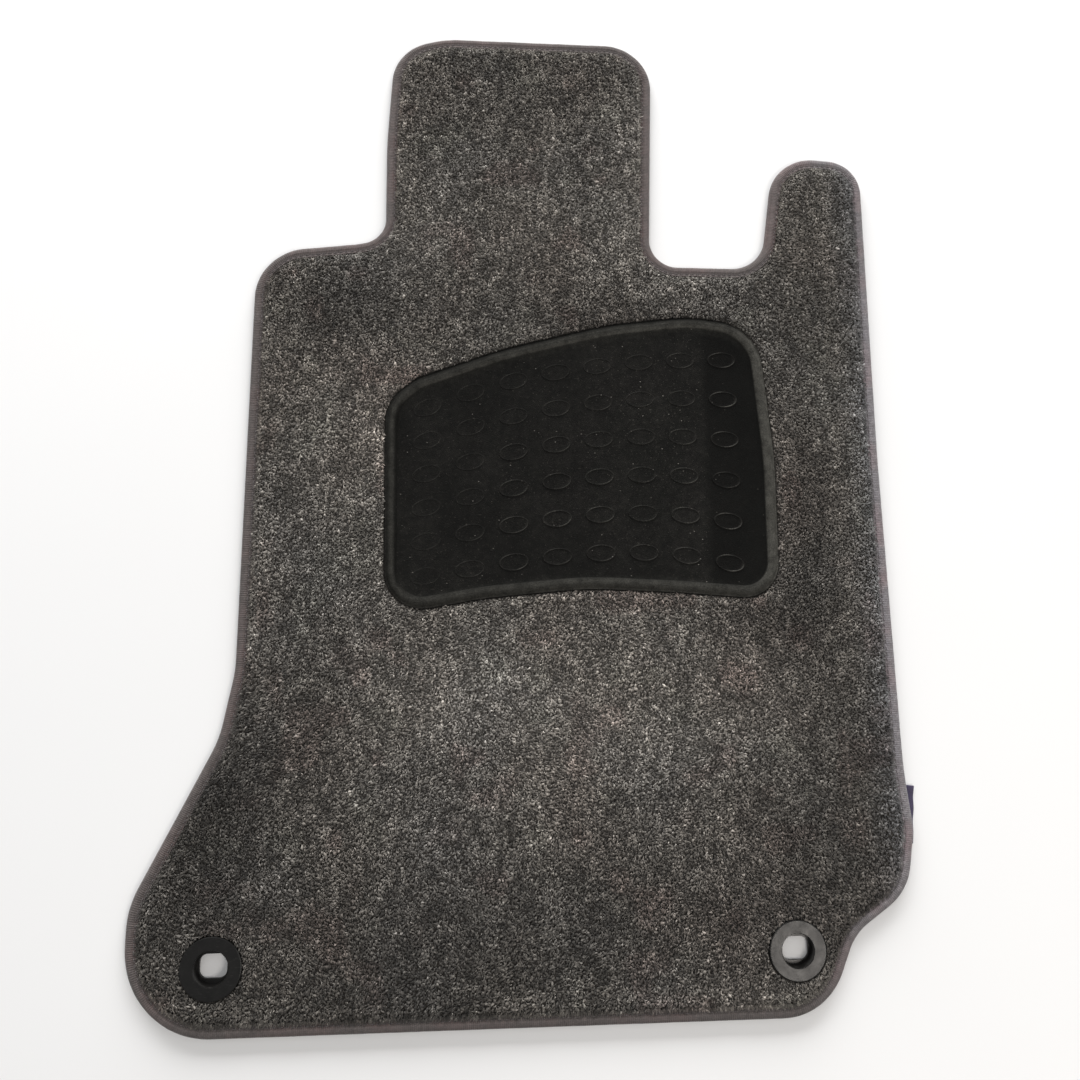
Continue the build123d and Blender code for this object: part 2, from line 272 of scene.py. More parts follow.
def swept(points, section, start=0):
    """Grid of a closed loop of stations by a section: faces and their UVs.

    points is (stations, section points, 3). section is True where it is closed.
    """
    n, m = points.shape[:2]
    i = np.arange(n)
    j = np.arange(m if section else m - 1)
    i, j = [a.ravel() for a in np.meshgrid(i, j, indexing="ij")]
    ni, nj = (i + 1) % n, (j + 1) % m
    quads = np.c_[i * m + j, i * m + nj, ni * m + nj, ni * m + j] + start
    along = np.linalg.norm(
        np.roll(points[:, 0, :2], -1, 0) - points[:, 0, :2], axis=1
    )
    run = np.r_[0, np.cumsum(along)]
    mid = points.mean(0)
    across = np.r_[
        0, np.cumsum(np.linalg.norm(points[0] - np.roll(points[0], -1, 0), axis=1))
    ]
    uv = np.stack(
        [
            np.c_[run[i], across[j]],
            np.c_[run[i], across[j + 1]],
            np.c_[run[i + 1], across[j + 1]],
            np.c_[run[i + 1], across[j]],
        ],
        axis=1,
    )
    return quads, uv * MM


# ----------------------------------------------------------------- node helpers
class Nodes:
    def __init__(self, name):
        self.mat = bpy.data.materials.new(name)
        self.mat.use_nodes = True
        self.t = self.mat.node_tree
        self.t.nodes.clear()
        self.out = self.t.nodes.new("ShaderNodeOutputMaterial")
        self.p = self.t.nodes.new("ShaderNodeBsdfPrincipled")
        self.t.links.new(self.p.outputs[0], self.out.inputs["Surface"])

    def new(self, kind, **values):
        n = self.t.nodes.new("ShaderNode" + kind)
        for k, v in values.items():
            setattr(n, k, v)
        return n

    def link(self, a, b):
        self.t.links.new(a, b)

    def put(self, socket, value):
        if isinstance(value, bpy.types.NodeSocket):
            self.link(value, socket)
        else:
            socket.default_value = value

    def math(self, op, a, b=0.0, c=None, clamp=False):
        n = self.new("Math", operation=op, use_clamp=clamp)
        self.put(n.inputs[0], a)
        self.put(n.inputs[1], b)
        if c is not None:
            self.put(n.inputs[2], c)
        return n.outputs[0]

    def attr(self, name):
        return self.new("Attribute", attribute_name=name).outputs["Fac"]

    def coords(self, kind="Object"):
        return self.new("TexCoord").outputs[kind]

    def uv(self):
        return self.new("UVMap", uv_map="Weave").outputs[0]

    def noise(self, vector, scale, detail=2.0, rough=0.5):
        n = self.new("TexNoise")
        self.link(vector, n.inputs["Vector"])
        n.inputs["Scale"].default_value = scale
        n.inputs["Detail"].default_value = detail
        n.inputs["Roughness"].default_value = rough
        return n.outputs["Fac"]

    def cells(self, vector, scale, out="Distance", feature="F1"):
        n = self.new("TexVoronoi", feature=feature)
        self.link(vector, n.inputs["Vector"])
        n.inputs["Scale"].default_value = scale
        return n.outputs[out]

    def ramp(self, fac, stops, interpolation="LINEAR"):
        n = self.new("ValToRGB")
        n.color_ramp.interpolation = interpolation
        e = n.color_ramp.elements
        while len(e) < len(stops):
            e.new(0.5)
        for el, (pos, col) in zip(e, stops):
            el.position = pos
            el.color = (*col, 1) if len(col) == 3 else col
        self.link(fac, n.inputs["Fac"])
        return n.outputs["Color"]

    def mix(self, fac, a, b, mode="MIX"):
        n = self.new("Mix", data_type="RGBA", blend_type=mode)
        self.put(n.inputs["Factor"], fac)
        for s, v in ((n.inputs[6], a), (n.inputs[7], b)):
            self.put(s, (*v, 1) if isinstance(v, tuple) and len(v) == 3 else v)
        return n.outputs[2]

    def scaled(self, colour, by):
        """Colour times a number."""
        n = self.new("VectorMath", operation="SCALE")
        self.put(n.inputs[0], colour)
        self.put(n.inputs["Scale"], by)
        return n.outputs[0]

    def mapped(self, vector, scale=(1, 1, 1), turn=(0, 0, 0)):
        n = self.new("Mapping")
        self.link(vector, n.inputs["Vector"])
        n.inputs["Scale"].default_value = scale
        n.inputs["Rotation"].default_value = turn
        return n.outputs[0]

    def bump(self, height, distance, strength=1.0):
        n = self.new("Bump")
        n.inputs["Strength"].default_value = strength
        n.inputs["Distance"].default_value = distance
        self.link(height, n.inputs["Height"])
        self.link(n.outputs[0], self.p.inputs["Normal"])

    def set(self, **values):
        for k, v in values.items():
            self.put(self.p.inputs[k.replace("_", " ")], v)


# -------------------------------------------------------------------- materials
def pile_tuft_material():
    m = Nodes("pile_tufts")
    where = m.coords()
    tone, rise, tint = m.attr("tone"), m.attr("rise"), m.attr("tint")
    # charcoal to light grey yarn, with a little warm and cool dye drift
    yarn = m.ramp(
        tone,
        [
            (0.0, (0.044, 0.0405, 0.0365)),
            (0.35, (0.125, 0.115, 0.103)),
            (0.7, (0.27, 0.249, 0.222)),
            (1.0, (0.62, 0.575, 0.52)),
        ],
    )
    drift = m.ramp(
        m.noise(where, 9.0, 2.0),
        [(0.3, (0.96, 1.0, 1.06)), (0.5, (1, 1, 1)), (0.72, (1.07, 0.985, 0.97))],
    )
    yarn = m.mix(0.6, yarn, drift, "MULTIPLY")
    yarn = m.mix(
        m.math("MULTIPLY", tint, 0.5, clamp=True), yarn, (1.08, 0.88, 0.88), "MULTIPLY"
    )
    yarn = m.mix(
        m.math("MULTIPLY", tint, -0.4, clamp=True), yarn, (0.92, 1.0, 0.93), "MULTIPLY"
    )
    # painted glare: the yarn is tinted bluer along the right side
    yarn = m.mix(m.attr("cool"), yarn, (0.93, 1.0, 1.13), "MULTIPLY")
    # painted shade: yarn darker down towards each tuft's and fibre's root, then times the pile's lightness
    shade = m.math("MULTIPLY_ADD", m.math("POWER", rise, 1.3), 0.64, 0.36)
    shade = m.math("MULTIPLY", shade, m.attr("lie_and_painted_light"))
    m.set(
        Base_Color=m.scaled(yarn, shade),
        Roughness=0.82,
        Specular_IOR_Level=0.22,
        Sheen_Weight=0.12,
        Sheen_Roughness=0.45,
    )
    return m.mat


def pile_bed_material():
    m = Nodes("pile_bed")
    where = m.coords()
    tone = m.attr("tone")
    rows = m.cells(where, 480.0)
    speck = m.noise(where, 900.0, 3.0, 0.65)
    yarn = m.ramp(
        m.math("MULTIPLY_ADD", speck, 0.7, m.math("MULTIPLY_ADD", tone, 0.9, -0.35)),
        [
            (0.1, (0.042, 0.0385, 0.035)),
            (0.5, (0.10, 0.092, 0.083)),
            (0.9, (0.22, 0.203, 0.183)),
        ],
    )
    # painted shade: darker away from each small cell's centre, as the gaps between tufts
    hollow = m.ramp(rows, [(0.0, (1, 1, 1)), (0.9, (0.5, 0.5, 0.5))])
    m.set(
        Base_Color=m.mix(1.0, yarn, hollow, "MULTIPLY"),
        Roughness=0.95,
        Specular_IOR_Level=0.1,
    )
    m.bump(m.math("ADD", speck, m.math("MULTIPLY", rows, -1.0)), 0.0008)
    return m.mat


def tape_material():
    m = Nodes("binding_tape")
    uv, where = m.uv(), m.coords()
    # fine cross ribs of the woven tape, with the warp showing between them
    rib = m.new("TexWave", wave_type="BANDS", bands_direction="X", wave_profile="SIN")
    m.link(uv, rib.inputs["Vector"])
    rib.inputs["Scale"].default_value = 1000 / 0.62 / 6.2832 * 1.0
    rib.inputs["Distortion"].default_value = 1.2
    rib.inputs["Detail"].default_value = 1.0
    warp = m.new("TexWave", wave_type="BANDS", bands_direction="Y", wave_profile="SIN")
    m.link(uv, warp.inputs["Vector"])
    warp.inputs["Scale"].default_value = 1000 / 0.9 / 6.2832
    warp.inputs["Distortion"].default_value = 0.8
    heather = m.noise(m.mapped(uv, (900, 2600, 1)), 1.0, 3.0, 0.6)
    patch = m.noise(where, 28.0, 3.0, 0.55)
    colour = m.ramp(
        heather,
        [
            (0.25, (0.039, 0.0330, 0.0310)),
            (0.5, (0.070, 0.0598, 0.0568)),
            (0.78, (0.126, 0.1095, 0.1045)),
        ],
    )
    colour = m.mix(
        m.math("MULTIPLY", m.ramp(patch, [(0.45, (0, 0, 0)), (0.65, (1, 1, 1))]), 0.8),
        colour,
        (1.16, 0.90, 0.90),
        "MULTIPLY",
    )
    cloth = m.noise(where, 330.0, 4.0, 0.7)
    colour = m.mix(
        1.0,
        colour,
        m.ramp(cloth, [(0.3, (0.62, 0.60, 0.60)), (0.5, (0.98, 0.98, 0.98)), (0.7, (1.42, 1.38, 1.36))]),
        "MULTIPLY",
    )
    colour = m.mix(
        0.45,
        colour,
        m.ramp(rib.outputs["Fac"], [(0.0, (0.55, 0.55, 0.56)), (0.8, (1.1, 1.1, 1.1))]),
        "MULTIPLY",
    )
    # painted glare: much lighter and bluer along the right side, nearest the door
    colour = m.mix(m.attr("painted_glare"), colour, (2.55, 2.84, 3.18), "MULTIPLY")
    # lighter where the fold is proud, rubbed and with a painted highlight along the roll, and across the front
    # edges as painted light where they lie in shade
    wear_and_painted_light = m.new("Attribute", attribute_name="wear_and_painted_light").outputs["Fac"]
    colour = m.mix(
        m.math("MULTIPLY", wear_and_painted_light, m.math("MULTIPLY", patch, 0.55)),
        colour,
        (0.175, 0.156, 0.152),
    )
    m.set(
        Base_Color=colour,
        Roughness=m.math("MULTIPLY_ADD", heather, 0.2, 0.62),
        Specular_IOR_Level=0.3,
        Sheen_Weight=0.25,
        Sheen_Roughness=0.4,
    )
    m.bump(
        m.math(
            "ADD", rib.outputs["Fac"], m.math("MULTIPLY", warp.outputs["Fac"], 0.4)
        ),
        0.00018,
    )
    return m.mat


def thread_material():
    m = Nodes("thread")
    uv = m.uv()
    ply = m.new("TexWave", wave_type="BANDS", bands_direction="DIAGONAL")
    m.link(uv, ply.inputs["Vector"])
    ply.inputs["Scale"].default_value = 420.0
    fuzz = m.noise(m.coords(), 2600.0, 2.0)
    colour = m.ramp(
        ply.outputs["Fac"],
        [(0.1, (0.050, 0.043, 0.044)), (0.9, (0.135, 0.118, 0.118))],
    )
    m.set(
        Base_Color=m.mix(
            0.35, colour, m.ramp(fuzz, [(0.3, (0.5, 0.5, 0.5)), (0.7, (1.2, 1.2, 1.2))]),
            "MULTIPLY",
        ),
        Roughness=0.5,
        Specular_IOR_Level=0.4,
        Sheen_Weight=0.2,
    )
    m.bump(ply.outputs["Fac"], 0.0001)
    return m.mat


def rubber_material():
    m = Nodes("pad_rubber")
    where = m.coords()
    grain = m.cells(where, 1500.0)
    fine = m.noise(where, 2400.0, 2.0)
    cloud = m.noise(where, 26.0, 4.0, 0.6)
    lint = m.noise(where, 620.0, 3.0, 0.7)
    dusty = m.attr("dust")
    rim = m.attr("rim")
    proud = m.attr("bead")
    base = m.ramp(cloud, [(0.3, (0.0062, 0.0062, 0.0058)), (0.7, (0.0088, 0.0087, 0.0081))])
    base = m.scaled(base, m.math("MULTIPLY_ADD", dusty, 0.35, 0.70))
    # a thin film of dust, thicker in the worn middle, and single bits of lint
    film = m.math(
        "MULTIPLY",
        dusty,
        m.math("MULTIPLY_ADD", m.ramp(cloud, [(0.35, (0, 0, 0)), (0.8, (1, 1, 1))]), 0.5, 0.3),
        clamp=True,
    )
    smudge = m.ramp(m.noise(where, 210.0, 4.0, 0.7), [(0.38, (0.2, 0.2, 0.2)), (0.66, (1.6, 1.6, 1.6))])
    film = m.math("MULTIPLY", film, smudge)
    colour = m.mix(m.math("MULTIPLY", film, 0.085), base, (0.095, 0.088, 0.078))
    bits = m.ramp(lint, [(0.61, (0, 0, 0)), (0.70, (1, 1, 1))])
    colour = m.mix(
        m.math("MULTIPLY", bits, m.math("MULTIPLY", dusty, 0.42)), colour, (0.10, 0.093, 0.08)
    )
    # hairs and crumbs that have stuck to it
    crumb = m.ramp(
        m.cells(m.mapped(where, (1, 1.7, 1), (0, 0, 0.6)), 110.0),
        [(0.035, (1, 1, 1)), (0.06, (0, 0, 0))],
    )
    colour = m.mix(
        m.math("MULTIPLY", crumb, m.math("MULTIPLY_ADD", dusty, 0.6, 0.15)), colour, (0.24, 0.225, 0.20)
    )
    # the bead is scuffed grey, and carries painted light and shade
    scuff = m.ramp(m.noise(where, 150.0, 6.0, 0.8), [(0.32, (0.34, 0.34, 0.34)), (0.62, (1, 1, 1))])
    colour = m.mix(m.math("MULTIPLY", rim, scuff), colour, (0.078, 0.0755, 0.067))
    grit = m.ramp(m.noise(where, 1400.0, 3.0, 0.75), [(0.36, (0.7, 0.7, 0.7)), (0.64, (1.4, 1.4, 1.4))])
    colour = m.mix(1.0, colour, grit, "MULTIPLY")
    m.set(
        Base_Color=colour,
        Roughness=m.math("MULTIPLY_ADD", proud, 0.24, m.math("MULTIPLY_ADD", cloud, 0.22, 0.60)),
        Specular_IOR_Level=0.07,
    )
    m.bump(m.math("ADD", grain, m.math("MULTIPLY", fine, 0.7)), 0.00022)
    return m.mat


def plastic_material(name, dark, light):
    m = Nodes(name)
    where = m.coords()
    mould = m.noise(where, 1300.0, 3.0, 0.6)
    cloud = m.noise(where, 160.0, 5.0, 0.7)
    scratch = m.noise(m.mapped(where, (300, 2600, 600), (0, 0, 0.5)), 1.0, 2.0, 0.7)
    colour = m.ramp(cloud, [(0.3, dark), (0.72, light)])
    colour = m.mix(
        m.math("MULTIPLY", m.ramp(scratch, [(0.62, (0, 0, 0)), (0.76, (1, 1, 1))]), 0.22),
        colour,
        (0.12, 0.118, 0.112),
    )
    m.set(
        Base_Color=colour,
        Roughness=m.math("MULTIPLY_ADD", cloud, 0.30, 0.19),
        Specular_IOR_Level=0.34,
    )
    m.bump(m.math("ADD", mould, m.math("MULTIPLY", scratch, 0.4)), 0.00003)
    return m.mat


def granulate_material():
    m = Nodes("granulate")
    where = m.coords()
    crumb = m.cells(where, 700.0)
    fine = m.noise(where, 2200.0, 3.0, 0.7)
    colour = m.ramp(
        m.cells(where, 700.0, "Color"),
        [(0.2, (0.010, 0.010, 0.0105)), (0.8, (0.036, 0.036, 0.037))],
    )
    colour = m.mix(
        m.math("MULTIPLY", m.noise(where, 35.0, 3.0), 0.22), colour, (0.10, 0.095, 0.088)
    )
    m.set(
        Base_Color=colour,
        Roughness=m.math("MULTIPLY_ADD", fine, 0.25, 0.6),
        Specular_IOR_Level=0.35,
    )
    m.bump(m.math("ADD", crumb, m.math("MULTIPLY", fine, 0.6)), 0.0005)
    return m.mat


def scrim_material():
    m = Nodes("scrim")
    weave = m.new("TexBrick")
    m.link(m.mapped(m.coords(), (1, 1, 1)), weave.inputs["Vector"])
    weave.inputs["Scale"].default_value = 160.0
    weave.inputs["Color1"].default_value = (0.16, 0.158, 0.152, 1)
    weave.inputs["Color2"].default_value = (0.23, 0.226, 0.218, 1)
    weave.inputs["Mortar"].default_value = (0.03, 0.03, 0.03, 1)
    weave.inputs["Mortar Size"].default_value = 0.03
    m.set(Base_Color=weave.outputs["Color"], Roughness=0.7, Specular_IOR_Level=0.3)
    m.bump(weave.outputs["Fac"], 0.0003, -1.0)
    return m.mat


def label_material():
    m = Nodes("label_cloth")
    uv = m.uv()
    rib = m.new("TexWave", wave_type="BANDS", bands_direction="Y", wave_profile="SIN")
    m.link(uv, rib.inputs["Vector"])
    rib.inputs["Scale"].default_value = 330.0
    heather = m.noise(m.mapped(uv, (2600, 1400, 1)), 1.0, 3.0, 0.6)
    colour = m.ramp(
        heather, [(0.3, (0.030, 0.024, 0.056)), (0.72, (0.080, 0.066, 0.118))]
    )
    m.set(
        Base_Color=m.mix(
            0.4,
            colour,
            m.ramp(rib.outputs["Fac"], [(0, (0.5, 0.5, 0.55)), (1, (1.2, 1.2, 1.2))]),
            "MULTIPLY",
        ),
        Roughness=0.6,
        Specular_IOR_Level=0.35,
        Sheen_Weight=0.3,
        Sheen_Roughness=0.35,
    )
    m.bump(rib.outputs["Fac"], 0.0001)
    return m.mat


MAT = {
    "tuft": pile_tuft_material(),
    "bed": pile_bed_material(),
    "tape": tape_material(),
    "thread": thread_material(),
    "rubber": rubber_material(),
    "plastic": plastic_material("eyelet_plastic", (0.0040, 0.0038, 0.0036), (0.0075, 0.0071, 0.0066)),
    "granulate": granulate_material(),
    "scrim": scrim_material(),
    "label": label_material(),
}

# ------------------------------------------------------------------ shared data
edge = Field(OUTLINE, 12)
pad = Field(PAD_OUTLINE, 16)


def inside_by(xy):
    """Distance in from the mat's outline."""
    return -edge(xy)


def off_pad(xy):
    """Distance out from the heel pad's outline, large away from it."""
    d = pad(xy)
    lo, hi = pad.lo, pad.lo + np.array(pad.d.shape) - 1
    away = np.maximum(np.maximum(lo - xy, xy - hi), 0).max(1)
    return np.where(away > 0, away + 14, d)


def off_eyelets(xy):
    return np.min(
        [np.linalg.norm(xy - c, axis=1) for c in EYELET_XY.values()], axis=0
    )


# Where feet and a brush have laid the pile lighter or darker, with painted light
# and shade on top: darker beside the heel pad, lighter along the right side.
# Centre and radii from the rear edge in mm, and how much lighter.
BRUSHED_AND_PAINTED_LIGHT = [
    (20, 215, 150, 62, 0.25), (-95, 385, 70, 60, 0.34), (0, 545, 80, 30, 0.22),
    (-20, 668, 70, 24, -0.15), (-140, 478, 60, 26, -0.42), (200, 480, 30, 40, -0.28),
    (195, 300, 20, 90, -0.55), (254, 380, 14, 170, 0.36), (-225, 110, 60, 70, -0.58),
    (20, 70, 260, 34, -0.43), (185, 110, 40, 50, -0.46), (150, 12, 60, 14, 0.35),
    (60, 478, 110, 14, -0.26), (255, 110, 14, 60, 0.34), (140, 256, 40, 14, -0.24),
    (80, 180, 60, 30, 0.19), (-150, 190, 30, 60, -0.28), (75, 600, 24, 70, 0.36),
    (200, 590, 40, 20, 0.20), (110, 498, 30, 16, 0.22), (-190, 380, 14, 80, 0.08),
    (20, 15, 60, 12, 0.25), (-60, 24, 180, 26, -0.58), (-108, 590, 14, 50, 0.38),
    (-40, 210, 80, 36, 0.15), (168, 258, 26, 26, -0.36), (225, 170, 26, 60, -0.30),
    (228, 400, 14, 80, 0.24), (-205, 150, 30, 50, -0.56), (-195, 290, 18, 60, 0.18),
    (-80, 560, 30, 60, 0.22), (70, 530, 40, 30, 0.20), (-190, 460, 20, 30, 0.20),
]


def lie_and_painted_light(xy):
    """Lightness of the pile, about 1: its brushed lie, and painted light and shade."""
    raw = xy - [X_SHIFT, Y_SHIFT]
    v = np.full(len(xy), 0.035)
    for x, y, rx, ry, k in BRUSHED_AND_PAINTED_LIGHT:
        v += k * np.exp(-(((raw[:, 0] - x) / rx) ** 2 + ((raw[:, 1] - y) / ry) ** 2))
    v += 0.035 * soft_noise(xy, 55, 11, 3)
    return np.exp(v)


def pile_height(xy):
    """Top of the pile: it rolls down at the tape, the pad and the flanges."""
    d, e, r = inside_by(xy), off_pad(xy), off_eyelets(xy)
    h = np.full(len(xy), PILE_TOP)
    h -= 1.9 * (1 - smooth(7.2, 14.0, d))
    h = np.minimum(h, 6.3 + 1.3 * smooth(0.0, 4.0, e))
    h = np.minimum(h, 7.5 + 0.1 * smooth(FLANGE_R, FLANGE_R + 3.5, r))
    return h


def from_eyelet(xy):
    """Unit vector away from the nearer eyelet."""
    c = np.array(list(EYELET_XY.values()))
    q = c[np.argmin([np.linalg.norm(xy - k, axis=1) for k in c], axis=0)]
    v = xy - q
    return v / np.maximum(np.linalg.norm(v, axis=1), 1e-6)[:, None]


def over_tape(xy):
    """How far the pile spreads over the binding there: most at the rear edge."""
    raw = xy - [X_SHIFT, Y_SHIFT]
    v = 0.55 + 0.45 * (1 - smooth(14, 40, raw[:, 1])) + 0.25 * smooth(150, 230, raw[:, 0])
    return v - 1.2 * at_front(xy)


def at_front(xy):
    """1 where the outline faces the front, where the pile is brushed back off the tape."""
    return smooth(0.35, 0.9, edge.slope(xy)[:, 1])


def dye(xy, rng):
    """Odd patches where the yarn is a little redder, above 0, or greener, below."""
    v = soft_noise(xy, 26, 71, 2)
    v = smooth(0.30, 0.62, v) - 0.8 * smooth(0.34, 0.66, -v)
    return v * rng.uniform(0.3, 1.0, len(xy))


def side_haze(xy):
    """0 in the middle of the mat, 1 along its right side, where the pile's fine tone is evened out as painted glare
    haze and its coarse tone varies more.
    """
    return smooth(120, 220, xy[:, 0] - X_SHIFT)


def glare_band(xy):
    """1 along the right edge, nearest the door, where painted glare tints the yarn bluer."""
    return smooth(218, 250, xy[:, 0] - X_SHIFT)


def mottle(xy):
    """Neighbouring tufts share their tone, in clumps that run front to back."""
    far = side_haze(xy) + 0.5 * (1 - smooth(60, 130, xy[:, 1] - Y_SHIFT))
    return (
        (0.235 - 0.03 * side_haze(xy)) * soft_noise(xy * [1.0, 0.52], 3.0, 61, 1)
        + (0.06 + 0.03 * far) * soft_noise(xy * [1.0, 0.66], 7.0, 62, 1)
        + (0.02 + 0.02 * far) * soft_noise(xy * [1.0, 0.66], 14.0, 63, 1)
        + 0.055 * gauge(xy)
    )


def gauge(xy):
    """1 along the tufting machine's rows, -1 between them: they run front to back."""
    sway = 0.55 * soft_noise(xy, 34, 64, 2) + 0.22 * soft_noise(xy, 9, 65, 1)
    clear = 0.65 + 0.35 * soft_noise(xy, 40, 66, 2)
    return clear * np.cos(2 * math.pi * (xy[:, 0] / 3.18 + sway))


# -------------------------------------------------------------------- pile: bed
def pile_bed():
    rim = -2.9
    p, n, _ = rounded(OUTLINE, 2.2)
    outer = p + n * rim
    holes = [circle(c, HOLE_R, 48) for c in EYELET_XY.values()]
    inner = scattered(p.min(0), p.max(0), 2.35, 21, 0.5)
    keep = (inside_by(inner) > 4.1) & (off_eyelets(inner) > HOLE_R + 1.2)
    keep &= np.abs(off_pad(inner) - 0.2) > 1.0
    q, m, _ = rounded(PAD_OUTLINE, 1.6)
    inner = np.vstack([inner[keep], q + m * 0.08, q + m * 0.4])
    v, f = filled([outer, *holes], inner)
    d, e, r = inside_by(v), off_pad(v), off_eyelets(v)
    top = pile_height(v) - 1.45
    top += 0.42 * soft_noise(v, 4.6, 5, 1) + 0.3 * np.random.default_rng(4).uniform(
        -1, 1, len(v)
    )
    top = np.minimum(top, 3.9 + 2.6 * smooth(8.0, 10.5, d))
    top = np.where(d < 8.6, np.minimum(top, 4.35), top)
    top = np.where(e < 1.4, np.minimum(top, 4.15 + 1.35 * smooth(0.1, 0.35, e)), top)
    top = np.where(r < FLANGE_R + 0.6, np.minimum(top, 5.1), top)
    # closed below by the same outline, on the scrim
    loops = [outer, *holes]
    v2, f2 = filled(loops, np.zeros((0, 2)))
    n1 = len(v)
    verts = np.vstack([np.c_[v, top], np.c_[v2, np.full(len(v2), 2.62)]])
    walls, k = [], 0
    for loop in loops:
        i = np.arange(len(loop))
        j = (i + 1) % len(loop)
        walls.append(np.c_[k + i, k + j, n1 + k + j, n1 + k + i])
        k += len(loop)
    ob = mesh_piece(
        "pile_carpet_bed", verts, [f, f2[:, ::-1] + n1, *walls], [MAT["bed"]]
    )
    # painted shade: the bed under the tufts takes half the pile's lightness as its tone
    number(ob, "tone", np.r_[lie_and_painted_light(v) * 0.5, np.zeros(len(v2))])
    return ob, loops


# ------------------------------------------------------------------ pile: tufts
def tufts():
    """Bloomed yarn ends: each is one closed, frayed, leaning bud."""
    pitch = 2.08
    lo, hi = edge.lo + 12, edge.lo + np.array(edge.d.shape) - 13
    p = scattered(lo, hi, pitch, 31, 1.25)
    d, e, r = inside_by(p), off_pad(p), off_eyelets(p)
    keep = (d > 8.5 + 0.35 * at_front(p)) & (e > 0.7) & (r > FLANGE_R + 0.55)
    p, d, e, r = p[keep], d[keep], e[keep], r[keep]
    n, k = len(p), 6
    rng = np.random.default_rng(77)
    # lean: brushed fields, plus each tuft's own way
    a = 1.3 * soft_noise(p, 90, 41, 2) + 1.0 * soft_noise(p, 14, 43, 2) - 1.5
    a += rng.normal(0, 0.72, n)
    reach = rng.uniform(0.35, 1.55, n)
    lean = np.c_[np.cos(a), np.sin(a)] * reach[:, None]
    # those along an edge spill over it
    out = edge.slope(p)
    spill = (1 - smooth(8.6, 11.2, d)) * rng.uniform(0.3, 1.0, n)
    push = spill * (0.9 + 1.1 * over_tape(p))
    lean = lean * (1 - 0.8 * spill)[:, None] + out * push[:, None]
    near = 1 - smooth(1.0, 2.6, e)
    to_pad = pad.slope(p)
    inward = np.sum(lean * to_pad, axis=1)
    lean -= to_pad * (np.minimum(inward + 0.75, 0) * near)[:, None]
    away = from_eyelet(p)
    near = 1 - smooth(FLANGE_R + 0.6, FLANGE_R + 2.4, r)
    inward = np.sum(lean * away, axis=1)
    lean -= away * (np.minimum(inward + 0.7, 0) * near)[:, None]

    top = pile_height(p) + rng.normal(0.15, 0.40, n) + 0.25 * soft_noise(p, 6, 51, 1) + 0.12 * gauge(p)
    top = np.clip(top, 5.9, PILE_TOP + 1.1)
    foot = np.maximum(pile_height(p) - 3.4, 3.0)
    # the frayed ring: long and short rays, wider one way
    wide = rng.uniform(1.15, 2.05, n)
    narrow = wide * rng.uniform(0.38, 0.72, n)
    turn = a + rng.normal(0, 0.5, n)
    t = np.arange(k) * 2 * math.pi / k + rng.uniform(0, 1, (n, 1))
    t = t + rng.normal(0, 0.22, (n, k))
    ray = rng.uniform(0.55, 1.15, (n, k)) * np.where(np.arange(k) % 2, 0.72, 1.08)
    x, y = wide[:, None] * np.cos(t) * ray, narrow[:, None] * np.sin(t) * ray
    rx = x * np.cos(turn)[:, None] - y * np.sin(turn)[:, None]
    ry = x * np.sin(turn)[:, None] + y * np.cos(turn)[:, None]
    level = top - foot
    ring_z = (foot + level * 0.80)[:, None] + rng.normal(0, 0.26, (n, k))
    verts = np.zeros((n, k + 2, 3))
    verts[:, 0] = np.c_[p - lean * 0.15, foot]
    verts[:, 1 : k + 1, 0] = (p[:, 0] + lean[:, 0] * 0.75)[:, None] + rx
    verts[:, 1 : k + 1, 1] = (p[:, 1] + lean[:, 1] * 0.75)[:, None] + ry
    verts[:, 1 : k + 1, 2] = ring_z
    verts[:, k + 1] = np.c_[p + lean * 1.05 + rng.normal(0, 0.2, (n, 2)), top]
    # mixed yarns: mostly mid grey, some nearly black, some light
    tone = 0.388 + 0.12 * rng.standard_normal(n) * (1 - 0.4 * side_haze(p))
    tone += mottle(p)
    tone += np.where(rng.uniform(size=n) < 0.06, 0.2, 0.0)
    tone = np.clip(tone, 0.03, 0.98)
    light = lie_and_painted_light(p) * np.exp(0.05 * soft_noise(p, 17, 12, 2) * (0.6 + side_haze(p)))
    tint = dye(p, rng)
    # painted shade: rise goes from the root, 0, to the tip, 1, and the yarn is darker towards the root
    rise = np.zeros((n, k + 2))
    rise[:, 1 : k + 1] = 0.8 + rng.normal(0, 0.08, (n, k))
    rise[:, k + 1] = 1.0
    rise = np.clip(rise, 0, 1)
    made = []
    order = np.argsort(p[:, 1])
    i = np.arange(k)
    j = (i + 1) % k
    one = np.vstack(
        [np.c_[np.zeros(k, int), 1 + j, 1 + i], np.c_[1 + i, 1 + j, np.full(k, k + 1)]]
    )
    parts = int(math.ceil(n * 2 * k / 190000))
    for q, chosen in enumerate(np.array_split(order, parts)):
        m = len(chosen)
        f = (one[None] + (np.arange(m) * (k + 2))[:, None, None]).reshape(-1, 3)
        ob = mesh_piece(
            f"pile_tufts_{q + 1}",
            verts[chosen].reshape(-1, 3),
            [f],
            [MAT["tuft"]],
            smooth_faces=True,
        )
        number(ob, "tone", np.repeat(tone[chosen], k + 2))
        number(ob, "tint", np.repeat(tint[chosen], k + 2))
        number(ob, "lie_and_painted_light", np.repeat(light[chosen], k + 2))
        number(ob, "cool", np.repeat(glare_band(p[chosen]), k + 2))
        number(ob, "rise", rise[chosen].ravel())
        bake_cells(ob, m, k, f, one)
        made.append(ob)
    return made, n


